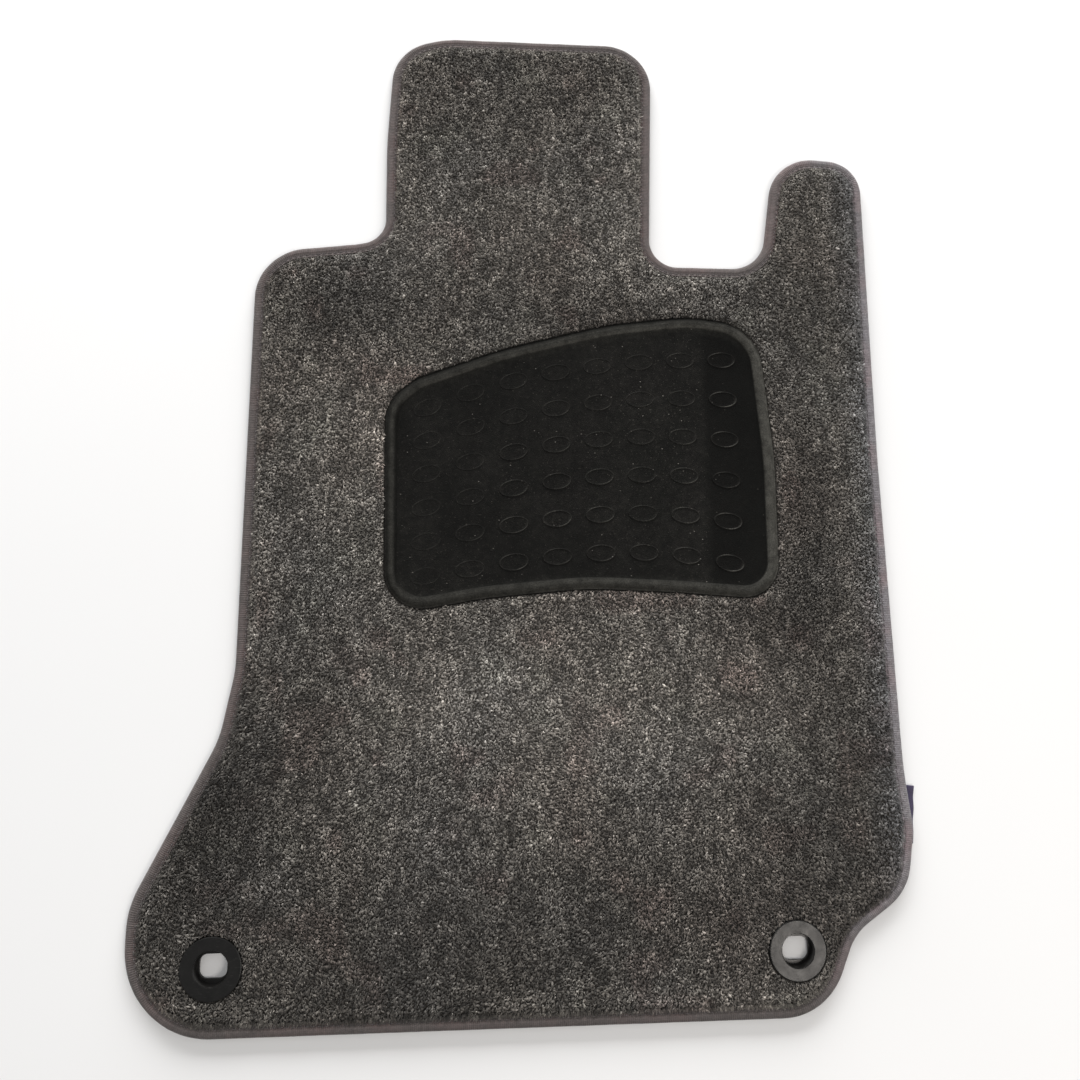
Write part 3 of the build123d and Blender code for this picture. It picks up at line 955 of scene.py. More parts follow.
def bake_cells(ob, count, k, f, one):
    """UV map that gives each tuft its own small cell, light at its tip."""
    side = int(math.ceil(math.sqrt(count)))
    cell = 1.0 / side
    i = np.arange(count)
    cx, cy = (i % side + 0.15) * cell, (i // side + 0.15) * cell
    u = np.r_[0.5, np.arange(k) / (k - 1), 0.5] * 0.7 * cell
    v = np.r_[0.0, np.full(k, 0.75), 1.0] * 0.7 * cell
    uv = np.stack([cx[:, None] + u, cy[:, None] + v], axis=2).reshape(-1, 2)
    layer = ob.data.uv_layers.new(name="OFBake")
    layer.data.foreach_set("uv", uv[f.ravel()].astype(np.float32).ravel())


# ------------------------------------------------------------------ pile: fibres
def fringe(rng):
    """Extra fibre roots just inside the tape."""
    p, n, _ = rounded(OUTLINE, 0.33)
    return p - n * rng.uniform(8.3, 9.9, len(p))[:, None]


def fibres():
    """Fibre ends that fan out of the tufts, each a slim closed sliver."""
    rng = np.random.default_rng(91)
    lo, hi = edge.lo + 12, edge.lo + np.array(edge.d.shape) - 13
    p = np.vstack([scattered(lo, hi, 1.32, 33, 1.7), fringe(rng)])
    d, e, r = inside_by(p), off_pad(p), off_eyelets(p)
    keep = (d > 8.3) & (e > 0.6) & (r > FLANGE_R + 0.4)
    p, d, e, r = p[keep], d[keep], e[keep], r[keep]
    n = len(p)
    a = 1.3 * soft_noise(p, 90, 41, 2) + 0.9 * soft_noise(p, 14, 43, 2) - 1.5
    a += rng.normal(0, 0.70, n)
    along = np.c_[np.cos(a), np.sin(a)]
    length = rng.uniform(1.0, 2.2, n)
    # towards an edge they lie over the tape, and keep off the pad and the flanges
    spill = (1 - smooth(8.6, 11.5, d)) * rng.uniform(0.15, 1.0, n)
    held = spill * (1 - 0.8 * at_front(p))
    along = along * (1 - 0.75 * spill)[:, None] + edge.slope(p) * held[:, None]
    length *= 1 + 0.75 * spill * np.maximum(over_tape(p), -0.2)
    for away, gap in (
        (pad.slope(p), e - 0.55 + rng.uniform(0, 1.15, n)),
        (from_eyelet(p), r - FLANGE_R - 0.25 + rng.uniform(0, 0.35, n)),
    ):
        reach = -np.sum(along * away, axis=1) * length
        back = np.maximum(reach - gap - 0.5, 0)
        along += away * (back / length)[:, None]
    along /= np.maximum(np.linalg.norm(along, axis=1), 0.3)[:, None]
    side = np.c_[-along[:, 1], along[:, 0]]
    width = rng.uniform(0.55, 1.05, n)
    h = pile_height(p)
    z0 = h - rng.uniform(0.5, 1.2, n)
    z1 = h + rng.normal(0.22, 0.40, n) + 0.12 * gauge(p)
    z1 = np.where(d < 10.2, np.maximum(z1 - 0.5 * spill, 6.15 + 0.4 * rng.uniform(size=n)), z1)
    z1 = np.clip(z1, np.where(e < 3.2, 6.3, 5.9), PILE_TOP + 1.2)
    verts = np.zeros((n, 4, 3))
    verts[:, 0] = np.c_[p + side * (width / 2)[:, None], z0]
    verts[:, 1] = np.c_[p - side * (width / 2)[:, None], z0]
    verts[:, 2] = np.c_[p - along * (width * 0.3)[:, None], z0 + width * 0.9]
    verts[:, 3] = np.c_[p + along * length[:, None], z1]
    tone = 0.15 * rng.standard_normal(n) * (1 - 0.4 * side_haze(p))
    tone += 0.462 + 1.15 * mottle(p)
    tone += np.where(rng.uniform(size=n) < 0.07, 0.22, 0)
    tone = np.clip(tone, 0.03, 1.0)
    light = lie_and_painted_light(p) * np.exp(0.05 * soft_noise(p, 17, 12, 2) * (0.6 + side_haze(p)))
    tint = dye(p, rng)
    one = np.array([[0, 3, 1], [1, 3, 2], [2, 3, 0], [0, 1, 2]])
    made = []
    for q, chosen in enumerate(np.array_split(np.argsort(p[:, 1]), math.ceil(n * 4 / 190000))):
        m = len(chosen)
        f = (one[None] + (np.arange(m) * 4)[:, None, None]).reshape(-1, 3)
        ob = mesh_piece(
            f"pile_fibres_{q + 1}", verts[chosen].reshape(-1, 3), [f], [MAT["tuft"]]
        )
        number(ob, "tone", np.repeat(tone[chosen], 4))
        number(ob, "tint", np.repeat(tint[chosen], 4))
        number(ob, "lie_and_painted_light", np.repeat(light[chosen], 4))
        number(ob, "cool", np.repeat(glare_band(p[chosen]), 4))
        # painted shade: each fibre is darker towards its root
        number(ob, "rise", np.tile([0.72, 0.72, 0.8, 1.0], m))
        side_n = int(math.ceil(math.sqrt(m)))
        i = np.arange(m)
        base = np.c_[(i % side_n + 0.2) / side_n, (i // side_n + 0.2) / side_n]
        corner = np.array([[0, 0], [1, 0], [0.5, 0.2], [0.5, 1]]) * 0.6 / side_n
        uv = (base[:, None] + corner[None]).reshape(-1, 2)
        layer = ob.data.uv_layers.new(name="OFBake")
        layer.data.foreach_set("uv", uv[f.ravel()].astype(np.float32).ravel())
        made.append(ob)
    return made


# ----------------------------------------------------------------- edge binding
TAPE_SECTION = np.array(
    [
        (8.05, 5.02), (8.12, 5.25), (7.95, 5.50), (7.55, 5.64), (7.1, 5.62),
        (6.75, 5.53), (6.4, 5.45), (6.05, 5.55), (5.6, 5.70), (4.8, 5.82),
        (3.9, 5.88), (3.0, 5.76), (2.2, 5.50), (1.4, 5.02), (0.75, 4.36),
        (0.28, 3.6), (0.04, 2.8), (0.18, 2.0), (0.6, 1.2), (1.2, 0.55),
        (2.0, 0.14), (3.2, 0.0), (4.6, 0.0), (5.8, 0.05), (6.4, 0.30),
        (7.0, 0.05), (7.7, 0.04), (8.05, 0.25), (8.05, 0.75), (7.7, 0.96),
        (5.5, 1.0), (3.0, 1.02), (1.75, 1.5), (1.1, 2.8), (1.75, 4.1),
        (3.0, 4.6), (5.5, 4.62), (7.7, 4.7),
    ]
)


def label_local(xy):
    """Position in the label: across from its fold, inwards below 0, and along."""
    q = xy - shifted(LABEL_EDGE)
    c, s = math.cos(LABEL_TURN), math.sin(LABEL_TURN)
    return np.c_[q[:, 0] * c + q[:, 1] * s, -q[:, 0] * s + q[:, 1] * c]


def binding():
    p, n, bend = rounded(OUTLINE, 1.35)
    s = np.arange(len(p)) * 1.35
    length = s[-1] + 1.35
    m = len(TAPE_SECTION)
    d = np.tile(TAPE_SECTION[:, 0], (len(p), 1))
    z = np.tile(TAPE_SECTION[:, 1], (len(p), 1))
    over = (TAPE_SECTION[:, 1] > 2.8)[None]
    share = np.clip(TAPE_SECTION[:, 0] / 8.0, 0, 1)[None]

    def wave(period, phase):
        k = round(length / period)
        return np.sin(2 * math.pi * k * s / length + phase)[:, None]

    # the tape is never quite even: width, fullness, and a dimple at every stitch
    width = 0.16 * wave(61, 0.3) + 0.12 * wave(23, 1.1) + 0.07 * wave(9.3, 2.0)
    d = d + share * width
    full = 0.10 * wave(37, 2.2) + 0.07 * wave(13, 0.4)
    z = z + np.where(over, full * (1 - np.abs(share - 0.45)), 0)
    pull = 0.5 + 0.5 * wave(4.0, 0.0)
    z = z - np.where(over & (np.abs(d - SEAM) < 0.9), 0.13 * pull, 0)
    # spare tape gathers in small pleats round the outside corners
    tight = np.convolve(np.r_[bend[-8:], bend, bend[:8]], np.ones(17) / 17, "valid")
    pleat = np.clip(tight * 30, 0, 1)[:, None] * (0.6 + 0.4 * wave(17, 0.9))
    ripple = wave(3.1, 0.0) + 0.5 * wave(4.3, 1.0)
    z = z + np.where(over, 0.13 * pleat * ripple * smooth(0.25, 0.8, share), 0)
    # seat over the label
    q = label_local(p)
    on = (np.abs(q[:, 1]) < LABEL_L / 2 + 0.4) & (np.abs(q[:, 0]) < 20)
    low = (~over) & (z < 0.72) & (TAPE_SECTION[:, 0] > 0.5)[None]
    z = np.where(on[:, None] & low, np.maximum(z, 0.63 + 0.35 * z), z)
    z = np.maximum(z, 0.0)
    xy = p[:, None] - n[:, None] * d[:, :, None]
    pts = np.concatenate([xy, z[:, :, None]], axis=2)
    quads, uv = swept(pts, True)
    ob = mesh_piece(
        "edge_binding_tape",
        pts.reshape(-1, 3),
        [quads[:, ::-1]],
        [MAT["tape"]],
        uv=[uv[:, ::-1]],
    )
    # rubbed wear, and a painted highlight, along the roll's crest and its outer side
    wear_and_painted_light = np.exp(-(((TAPE_SECTION[:, 0] - 3.4) / 2.2) ** 2)) * (
        TAPE_SECTION[:, 1] > 4
    ) + 0.6 * (TAPE_SECTION[:, 0] < 1) * (TAPE_SECTION[:, 1] > 2)
    # painted light: along the front edges it is lit right across to the pile, where the tape lies in shade
    front = smooth(0.35, 0.9, n[:, 1])[:, None]
    flat = smooth(4.4, 6.0, TAPE_SECTION[:, 0]) * (TAPE_SECTION[:, 1] > 4)
    wear_and_painted_light = np.maximum(wear_and_painted_light[None], 1.6 * front * flat[None])
    number(ob, "wear_and_painted_light", np.clip(wear_and_painted_light, 0, 1.6).ravel())
    # painted glare along the right side, weaker at the rear and at the front
    painted_glare = smooth(170, 235, p[:, 0] - X_SHIFT)
    painted_glare *= 0.62 + 0.38 * smooth(20, 150, p[:, 1] - Y_SHIFT)
    painted_glare *= 1 - 0.32 * smooth(470, 540, p[:, 1] - Y_SHIFT)
    number(ob, "painted_glare", np.repeat(painted_glare, m))
    return ob, length


def stitches(name, level, sign):
    """Lockstitches: each one a short rounded loop of thread that dips at both ends."""
    p, n, _ = rounded(OUTLINE, 0.25)
    seam = p - n * SEAM
    run = np.r_[0, np.cumsum(np.linalg.norm(np.diff(np.vstack([seam, seam[:1]]), axis=0), axis=1))]
    count = int(round(run[-1] / 4.0))
    pitch = run[-1] / count
    rng = np.random.default_rng(17 if sign > 0 else 18)
    rings, sides = 9, 7
    u = np.linspace(0, 1, rings)
    verts, faces, uvs = [], [], []
    closed = np.vstack([seam, seam[:1]])
    normals = np.vstack([n, n[:1]])
    for c in range(count):
        gap = 0.22 + rng.uniform(-0.06, 0.06)
        s = c * pitch + gap + u * (pitch - 2 * gap)
        x, y = np.interp(s, run, closed[:, 0]), np.interp(s, run, closed[:, 1])
        nx, ny = np.interp(s, run, normals[:, 0]), np.interp(s, run, normals[:, 1])
        slant = (u - 0.5) * rng.uniform(0.16, 0.34) + rng.uniform(-0.05, 0.05)
        x, y = x + nx * slant, y + ny * slant
        arch = np.sin(math.pi * u)
        z = level + sign * (-0.42 + 0.62 * arch**0.55)
        r = 0.27 * (0.55 + 0.45 * arch**0.4) * rng.uniform(0.93, 1.07)
        tx, ty = -ny, nx
        ang = np.arange(sides) * 2 * math.pi / sides
        ring = np.zeros((rings, sides, 3))
        ring[:, :, 0] = x[:, None] + nx[:, None] * r[:, None] * np.cos(ang)
        ring[:, :, 1] = y[:, None] + ny[:, None] * r[:, None] * np.cos(ang)
        ring[:, :, 2] = z[:, None] + r[:, None] * 0.85 * np.sin(ang)
        if sign < 0:
            ring[:, :, 2] = np.maximum(ring[:, :, 2], 0.0)
        base = len(verts) * (rings * sides + 2)
        verts.append(
            np.vstack([ring.reshape(-1, 3), ring[0].mean(0), ring[-1].mean(0)])
        )
        i, j = [q.ravel() for q in np.meshgrid(np.arange(rings - 1), np.arange(sides), indexing="ij")]
        nj = (j + 1) % sides
        quad = np.c_[i * sides + j, i * sides + nj, (i + 1) * sides + nj, (i + 1) * sides + j]
        faces.append(quad + base)
        uvs.append(
            np.stack(
                [
                    np.c_[s[i], j * 0.25], np.c_[s[i], (j + 1) * 0.25],
                    np.c_[s[i + 1], (j + 1) * 0.25], np.c_[s[i + 1], j * 0.25],
                ],
                axis=1,
            )
        )
    per = rings * sides + 2
    j = np.arange(sides)
    nj = (j + 1) % sides
    cap = np.vstack(
        [
            np.c_[nj, j, np.full(sides, rings * sides)],
            np.c_[(rings - 1) * sides + j, (rings - 1) * sides + nj, np.full(sides, rings * sides + 1)],
        ]
    )
    caps = (cap[None] + (np.arange(count) * per)[:, None, None]).reshape(-1, 3)
    return mesh_piece(
        name,
        np.vstack(verts),
        [np.vstack(faces), caps],
        [MAT["thread"]],
        uv=[np.vstack(uvs) * MM, np.zeros((len(caps), 3, 2))],
    )


# --------------------------------------------------------------------- heel pad
RIM_SECTION = np.array(
    [
        (0.0, 4.4), (0.0, 5.55), (0.12, 5.85), (0.45, 6.0), (1.15, 6.02),
        (1.5, 6.15), (1.75, 6.55), (2.1, 7.15), (2.7, 7.8), (3.5, 8.2),
        (4.5, 8.38), (5.6, 8.40), (6.6, 8.28), (7.4, 7.95), (8.0, 7.35),
        (8.35, 6.75), (8.8, 6.42),
    ]
)
# in from the stud's foot, and height over the plate
STUD_SECTION = [
    (-0.5, 0.0), (-0.06, 0.02), (0.10, 0.16), (0.24, 0.36), (0.40, 0.52), (0.56, 0.57),
    (0.72, 0.54), (0.86, 0.44), (0.98, 0.33), (1.20, 0.26), (2.6, 0.22), (4.2, 0.24),
]


def stud_places():
    out = []
    for col in range(8):
        for row in range(6):
            t = row / 5
            line = [a + (b - a) * t for a, b in zip(STUD_FRONT, STUD_REAR)]
            lo, hi = max(col - 1, 0), min(col + 1, 7)
            slope = (line[hi] - line[lo]) / ((hi - lo) * STUD_PITCH)
            out.append((*shifted((STUD_X0 + col * STUD_PITCH, line[col])), slope))
    return out


def stud_left(x, y):
    """How much of a stud's bead is left: heels have rubbed down those at the left and front."""
    rear = smooth(-62, 5, x) * (1 - 0.62 * smooth(0, 55, y))
    return 0.34 + 0.66 * np.maximum(rear, smooth(112, 132, x))


def plate_level(xy):
    """The moulded sheet isn't quite flat on the carpet."""
    return PAD_PLATE + 0.14 * soft_noise(xy, 60, 81, 2) + 0.05 * soft_noise(xy, 17, 82, 1)


def heel_pad():
    p, n, _ = rounded(PAD_OUTLINE, 1.3)
    rim = p[:, None] - n[:, None] * RIM_SECTION[None, :, 0:1]
    z = np.tile(RIM_SECTION[:, 1], (len(p), 1))
    inner = rim[:, -1]
    z[:, -1] = plate_level(inner)
    z[:, -2] += (z[:, -1] - PAD_PLATE) * 0.6
    pts = np.concatenate([rim, z[:, :, None]], axis=2)
    quads, _ = swept(pts, False)
    verts, faces = [pts.reshape(-1, 3)], [quads]
    total = len(verts[0])
    k = 60
    t = np.arange(k) * 2 * math.pi / k
    ovals = []
    ring_of = []
    for x, y, turn in stud_places():
        c, s = math.cos(turn), math.sin(turn)
        left = stud_left(x - X_SHIFT, y)
        rings = []
        for inset, up in STUD_SECTION:
            a, b = 10.5 - inset, 6.0 - inset
            u, v = a * np.cos(t), b * np.sin(t)
            xy = np.c_[x + u * c - v * s, y + u * s + v * c]
            rings.append(np.c_[xy, plate_level(xy) + up * left])
        ovals.append(rings[0][:, :2])
        ring_of.append(np.array(rings))
    lo, hi = inner.min(0), inner.max(0)
    grid = scattered(lo, hi, 3.4, 55, 0.5)
    keep = pad(grid) < -8.7 - 1.2
    for x, y, turn in stud_places():
        c, s = math.cos(turn), math.sin(turn)
        q = grid - [x, y]
        u, v = q[:, 0] * c + q[:, 1] * s, -q[:, 0] * s + q[:, 1] * c
        keep &= (u / 12.2) ** 2 + (v / 7.7) ** 2 > 1
    v2, f2 = filled([inner, *ovals], grid[keep])
    # the plate's first points are the rim's inner loop and the studs' feet
    plate = np.c_[v2, plate_level(v2)]
    same = np.arange(len(v2)) + total
    verts.append(plate)
    faces_plate = same[f2]
    total += len(plate)
    stud_faces = []
    nr = len(STUD_SECTION)
    at = len(inner)
    for rings in ring_of:
        first = total
        verts.append(rings[1:].reshape(-1, 3))
        total += (nr - 1) * k
        foot = same[at : at + k]
        at += k
        rows = [foot] + [first + q * k + np.arange(k) for q in range(nr - 1)]
        for a, b in zip(rows[:-1], rows[1:]):
            stud_faces.append(np.c_[a, np.roll(a, -1), np.roll(b, -1), b])
        verts.append(np.array([[*rings[-1][:, :2].mean(0), rings[-1][:, 2].mean() + 0.02]]))
        last = rows[-1]
        centre = total
        total += 1
        faces.append(np.c_[last, np.roll(last, -1), np.full(k, centre)])
    # underside
    v3, f3 = filled([p], np.zeros((0, 2)))
    verts.append(np.c_[v3, np.full(len(v3), PAD_Z)])
    bottom = f3[:, ::-1] + total
    total += len(v3)
    all_v = np.vstack(verts)
    polys = [faces[0], np.vstack(stud_faces), faces_plate, np.vstack(faces[1:]), bottom]
    ob = mesh_piece("heel_pad_moulding", all_v, polys, [MAT["rubber"]])
    import bmesh

    bm = bmesh.new()
    bm.from_mesh(ob.data)
    bmesh.ops.remove_doubles(bm, verts=bm.verts, dist=2e-6)
    bmesh.ops.recalc_face_normals(bm, faces=bm.faces)
    bm.to_mesh(ob.data)
    bm.free()
    co = np.zeros(len(ob.data.vertices) * 3, np.float32)
    ob.data.vertices.foreach_get("co", co)
    co = co.reshape(-1, 3) / MM
    d = -pad(co[:, :2])
    x = co[:, 0] - X_SHIFT
    # scuffing on the bead, and painted light and shade: its outer, crest and inner share, each way it faces; the
    # inner face along the front is lit up where it lies in shade, and the right side is lightest
    face = pad.slope(co[:, :2])
    up, low = np.maximum(face[:, 1], 0) ** 2, np.maximum(-face[:, 1], 0) ** 2
    left, right = np.maximum(-face[:, 0], 0) ** 2, np.maximum(face[:, 0], 0) ** 2
    outer = smooth(0.1, 0.4, d) * (1 - smooth(3.0, 4.2, d))
    crest = smooth(3.0, 4.2, d) * (1 - smooth(6.0, 7.2, d))
    within_rim = smooth(6.0, 7.2, d) * (1 - smooth(8.0, 8.6, d))
    rim = (
        left * (0.20 * outer + 0.40 * crest + 0.08 * within_rim)
        + up * (0.05 * outer + 0.34 * crest + 1.0 * within_rim)
        + low * (0.52 * outer + 0.42 * crest + 0.21 * within_rim)
        + right * (0.80 * outer + 0.64 * crest + 0.58 * within_rim)
    )
    # dust lies in the corner along the front, and painted light there lifts the shade that the bead casts on the
    # plate
    rim += 0.22 * up * smooth(8.0, 8.6, d) * (1 - smooth(9.4, 12.5, d))
    # painted light: lighter towards the right
    rim *= (1 + 0.25 * smooth(-40, 60, x)) * (co[:, 2] > 5.5)
    # the studs' beads are lighter on their lower right and upper left arcs: polished where a heel drags over them,
    # with a painted highlight where they catch the light
    for cx, cy, turn in stud_places():
        c, s = math.cos(turn), math.sin(turn)
        q = co[:, :2] - [cx, cy]
        u, w = q[:, 0] * c + q[:, 1] * s, -q[:, 0] * s + q[:, 1] * c
        r = np.hypot(u / 10.5, w / 6.0)
        bead = np.exp(-(((1 - r) * 7.2 - 0.56) / 0.30) ** 2)
        way = np.arctan2(w, u)
        drag_and_glint = np.exp(-((way + 1.0) / 0.75) ** 2) + 0.55 * np.exp(-((way - 2.2) / 0.7) ** 2)
        strength = 0.32 + 0.66 * abs(math.sin(cx * 12.9 + cy * 78.2))
        strength *= stud_left(cx - X_SHIFT, cy)
        # painted highlight: stronger in the strip at the right
        strength *= 1 + 0.6 * smooth(100, 130, cx - X_SHIFT)
        rim = np.maximum(rim, bead * np.clip(0.06 + drag_and_glint, 0, 1) * strength * (r < 1.02))
    number(ob, "rim", rim)
    number(ob, "bead", smooth(0.2, 1.2, d) * (1 - smooth(8.4, 9.0, d)))
    dust = 0.15 + 0.85 * (1 - smooth(121, 128, x))
    dust = dust * (0.75 + 0.4 * soft_noise(co[:, :2], 70, 85, 2))
    number(ob, "dust", np.clip(dust * (d > 8.4), 0, 1))
    ob.data.polygons.foreach_set("use_smooth", np.ones(len(ob.data.polygons), bool))
    return ob


# -------------------------------------------------------------------- underside
def backing():
    p, n, _ = rounded(OUTLINE, 2.6)
    section = [(2.6, 1.95), (2.6, 1.08), (8.25, 1.08), (8.25, 0.75)]
    pts = np.array([[(*(a - b * d), z) for d, z in section] for a, b in zip(p, n)])
    quads, _ = swept(pts, False)
    verts, polys = [pts.reshape(-1, 3)], [quads]
    total = len(verts[0])
    holes = [circle(c, RING_R + 0.35, 64) for c in EYELET_XY.values()]
    for column, level, flip in ((0, 1.95, False), (3, 0.75, True)):
        loop = pts[:, column, :2]
        v, f = filled([loop, *holes], np.zeros((0, 2)))
        verts.append(np.c_[v, np.full(len(v), level)])
        polys.append((f[:, ::-1] if flip else f) + total)
        starts = total
        total += len(v)
        if column == 0:
            upper = starts
        else:
            lower = starts
    k = len(p)
    for h in holes:
        i = np.arange(len(h))
        j = (i + 1) % len(h)
        polys.append(np.c_[upper + k + i, upper + k + j, lower + k + j, lower + k + i])
        k += len(h)
    ob = mesh_piece("backing_sheet", np.vstack(verts), polys, [MAT["granulate"]], smooth_faces=False)
    import bmesh

    bm = bmesh.new()
    bm.from_mesh(ob.data)
    bmesh.ops.remove_doubles(bm, verts=bm.verts, dist=2e-6)
    bmesh.ops.recalc_face_normals(bm, faces=bm.faces)
    bm.to_mesh(ob.data)
    bm.free()

    # grip nubs all over the underside
    q = scattered(p.min(0), p.max(0), 5.16, 63, 0.12)
    keep = (inside_by(q) > 10.2) & (off_eyelets(q) > RING_R + 2.2)
    q = q[keep]
    m, sides = len(q), 5
    rng = np.random.default_rng(64)
    r = 1.25 * rng.uniform(0.88, 1.1, m)
    t = np.arange(sides) * 2 * math.pi / sides + rng.uniform(0, 1, (m, 1))
    v = np.zeros((m, 2 * sides + 1, 3))
    for row, (share, z) in enumerate(((1.0, 0.9), (0.62, 0.16))):
        v[:, row * sides : (row + 1) * sides, 0] = q[:, :1] + r[:, None] * share * np.cos(t)
        v[:, row * sides : (row + 1) * sides, 1] = q[:, 1:] + r[:, None] * share * np.sin(t)
        v[:, row * sides : (row + 1) * sides, 2] = z
    v[:, -1] = np.c_[q, rng.uniform(0.0, 0.04, m)]
    i = np.arange(sides)
    j = (i + 1) % sides
    quad = np.c_[i, sides + i, sides + j, j]
    tri = np.c_[sides + i, np.full(sides, 2 * sides), sides + j]
    root = i[None]
    per = (np.arange(m) * (2 * sides + 1))[:, None, None]
    nubs = mesh_piece(
        "backing_nubs",
        v.reshape(-1, 3),
        [
            (quad[None] + per).reshape(-1, 4),
            (tri[None] + per).reshape(-1, 3),
            (root[None] + per).reshape(-1, sides),
        ],
        [MAT["granulate"]],
    )
    # UV map that gives each nub its own small cell
    side = int(math.ceil(math.sqrt(m)))
    cell = np.c_[np.arange(m) % side + 0.5, np.arange(m) // side + 0.5] / side
    local = np.vstack([np.c_[np.cos(t[0]), np.sin(t[0])] * w for w in (0.42, 0.24)] + [[[0, 0]]])
    spot = (cell[:, None] + local[None] / side).reshape(-1, 2)
    used = np.zeros(len(nubs.data.loops), np.int32)
    nubs.data.loops.foreach_get("vertex_index", used)
    layer = nubs.data.uv_layers.new(name="OFBake")
    layer.data.foreach_set("uv", spot[used].astype(np.float32).ravel())
    return ob, nubs


# ------------------------------------------------------------------------ label
def label():
    """A short length of ribbon folded in two, with its raw ends under the tape."""
    t = np.linspace(-math.pi / 2, math.pi / 2, 9)
    outer = [(-13.0, 0.02)] + [(-0.29 + 0.29 * math.cos(a), 0.30 + 0.29 * math.sin(a)) for a in t] + [(-13.0, 0.58)]
    inner = [(-13.0, 0.33)] + [(-0.42 + 0.06 * math.cos(a), 0.30 + 0.03 * math.sin(a)) for a in t[::-1]] + [(-13.0, 0.27)]
    loop = np.array(outer + inner)
    steps = np.linspace(-LABEL_L / 2, LABEL_L / 2, 40)
    c, s = math.cos(LABEL_TURN), math.sin(LABEL_TURN)
    ox, oy = shifted(LABEL_EDGE)
    pts = np.zeros((len(steps), len(loop), 3))
    for i, v in enumerate(steps):
        lift = 0.9 * smooth(0.62, 1.0, v / (LABEL_L / 2)) + 0.25 * (1 + math.sin(v * 0.45))
        out = smooth(-6.5, 0.0, loop[:, 0])
        u = loop[:, 0] + 0.15 * math.sin(v * 0.31)
        pts[i, :, 0] = ox + u * c - v * s
        pts[i, :, 1] = oy + u * s + v * c
        pts[i, :, 2] = loop[:, 1] + out * lift * 0.8
    n, m = pts.shape[:2]
    i, j = [a.ravel() for a in np.meshgrid(np.arange(n - 1), np.arange(m), indexing="ij")]
    nj = (j + 1) % m
    quads = np.c_[i * m + j, (i + 1) * m + j, (i + 1) * m + nj, i * m + nj]
    run = np.r_[0, np.cumsum(np.linalg.norm(np.diff(np.vstack([loop, loop[:1]]), axis=0), axis=1))]
    uv = np.stack(
        [
            np.c_[run[j], steps[i]], np.c_[run[j], steps[i + 1]],
            np.c_[run[j + 1], steps[i + 1]], np.c_[run[j + 1], steps[i]],
        ],
        axis=1,
    )
    h = m // 2
    # the two plies' cut ends, as strips between outside and inside
    k = np.arange(h - 1)
    ends, end_uv = [], []
    for row, flip in ((0, False), (n - 1, True)):
        a = row * m + np.c_[k, k + 1, m - 2 - k, m - 1 - k]
        ends.append(a[:, ::-1] if flip else a)
        end_uv.append(np.zeros((len(a), 4, 2)))
    return mesh_piece(
        "side_label_ribbon",
        pts.reshape(-1, 3),
        [quads, *ends],
        [MAT["label"]],
        uv=[uv * MM, *[e for e in end_uv]],
    )


# ----------------------------------------------------------------------- pieces
bed, bed_loops = pile_bed()
tuft_pieces, tuft_count = tufts()
fibre_pieces = fibres()
tape, tape_length = binding()
top_stitches = stitches("binding_stitches_upper", 5.48, 1)
under_stitches = stitches("binding_stitches_lower", 0.30, -1)
pad_piece = heel_pad()
sheet, nubs = backing()
ribbon = label()

for ob, slot in (
    (bed, "pile"), *[(t, "pile") for t in [*tuft_pieces, *fibre_pieces]],
    (tape, "binding_tape"), (top_stitches, "thread"), (under_stitches, "thread"),
    (pad_piece, "pad_rubber"), (sheet, "granulate"), (nubs, "granulate"),
    (ribbon, "label_cloth"),
):
    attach(ob, "root")

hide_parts("pile_carpet")
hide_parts("edge_binding")
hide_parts("binding_stitches_top")
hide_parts("binding_stitches_bottom")
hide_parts("heel_pad")
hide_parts("anti_slip_backing")
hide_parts("side_label")

for node, material in (
    ("primary_backing", "scrim"),
    ("left_eyelet_top", "plastic"), ("left_eyelet_ring", "plastic"),
    ("right_eyelet_top", "plastic"), ("right_eyelet_ring", "plastic"),
):
    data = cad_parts[node].data
    data.materials.clear()
    data.materials.append(MAT[material])


# ------------------------------------------------------------------------ stage
def flat_plane(name, half, z):
    me = bpy.data.meshes.new(name)
    me.from_pydata(
        [(-half, -half, z), (half, -half, z), (half, half, z), (-half, half, z)],
        [],
        [(0, 1, 2, 3)],
    )
    ob = bpy.data.objects.new(name, me)
    scene.collection.objects.link(ob)
    return ob


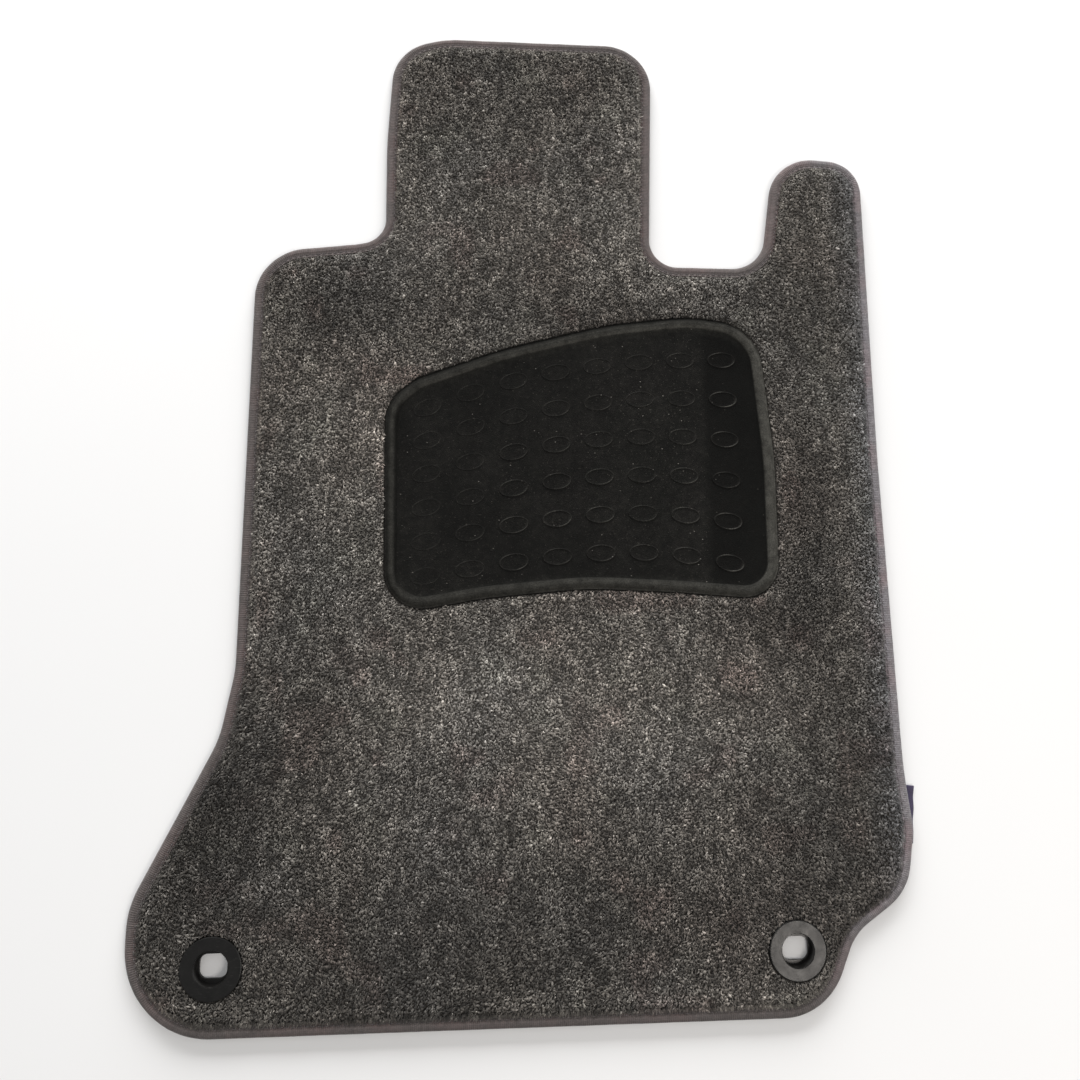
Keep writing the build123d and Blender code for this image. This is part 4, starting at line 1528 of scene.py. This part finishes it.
floor = flat_plane("floor", 20.0, -0.0001)
fm = Nodes("floor_paper")
fm.set(
    Base_Color=fm.ramp(
        fm.noise(fm.coords(), 3.0, 2.0), [(0.3, (0.80, 0.80, 0.80)), (0.7, (0.82, 0.82, 0.82))]
    ),
    Roughness=0.9,
    Specular_IOR_Level=0.1,
)
floor.data.materials.append(fm.mat)

# ---------------------------------------------------------------- light, camera
world = bpy.data.worlds.new("studio")
scene.world = world
world.use_nodes = True
world.node_tree.nodes["Background"].inputs["Color"].default_value = (1, 1, 1, 1)
world.node_tree.nodes["Background"].inputs["Strength"].default_value = 0.37


def panel(name, where, at, size, power):
    data = bpy.data.lights.new(name, "AREA")
    data.shape = "RECTANGLE"
    data.size, data.size_y = size
    data.energy = power
    ob = bpy.data.objects.new(name, data)
    ob.location = where
    ob.rotation_mode = "QUATERNION"
    ob.rotation_quaternion = (Vector(at) - Vector(where)).to_track_quat("-Z", "Y")
    scene.collection.objects.link(ob)
    return ob


low = panel("low_key", (-0.2, 3.28, 0.92), (0.0, 0.0, 0.0), (4.4, 1.4), 300.0)
low.visible_glossy = False  # a matt light: plastic and rubber don't mirror the panel
panel("top_fill", (-0.8, 0.55, 1.7), (-0.3, -0.1, 0.0), (1.2, 1.2), 4.5)
panel("right_fill", (1.6, 0.2, 1.3), (0.0, 0.0, 0.0), (1.0, 1.0), 3.5)
sheen = panel("right_sheen", (0.62, -0.73, 1.2), (0.17, -0.3, 0.0), (0.4, 0.4), 5.6)
sheen.data.color = (1.0, 0.935, 0.87)

cam_data = bpy.data.cameras.new("camera")
cam_data.sensor_width = 36.0
cam_data.lens = 36.0 * 790.0 / 1080.0
cam_data.clip_start, cam_data.clip_end = 0.01, 20.0
camera = bpy.data.objects.new("camera", cam_data)
scene.collection.objects.link(camera)
tilt, side, roll = math.radians(8.826), math.radians(-3.63), math.radians(-0.443)
turn = (
    Matrix.Rotation(side, 4, "Y") @ Matrix.Rotation(tilt, 4, "X") @ Matrix.Rotation(roll, 4, "Z")
)
place = Vector(((-28.94 + X_SHIFT) * MM, (228.73 + Y_SHIFT) * MM, 544.86 * MM))
camera.matrix_world = Matrix.Translation(place) @ turn
scene.camera = camera
scene.view_settings.view_transform = "Standard"
scene.view_settings.look = "None"

bpy.context.view_layer.update()
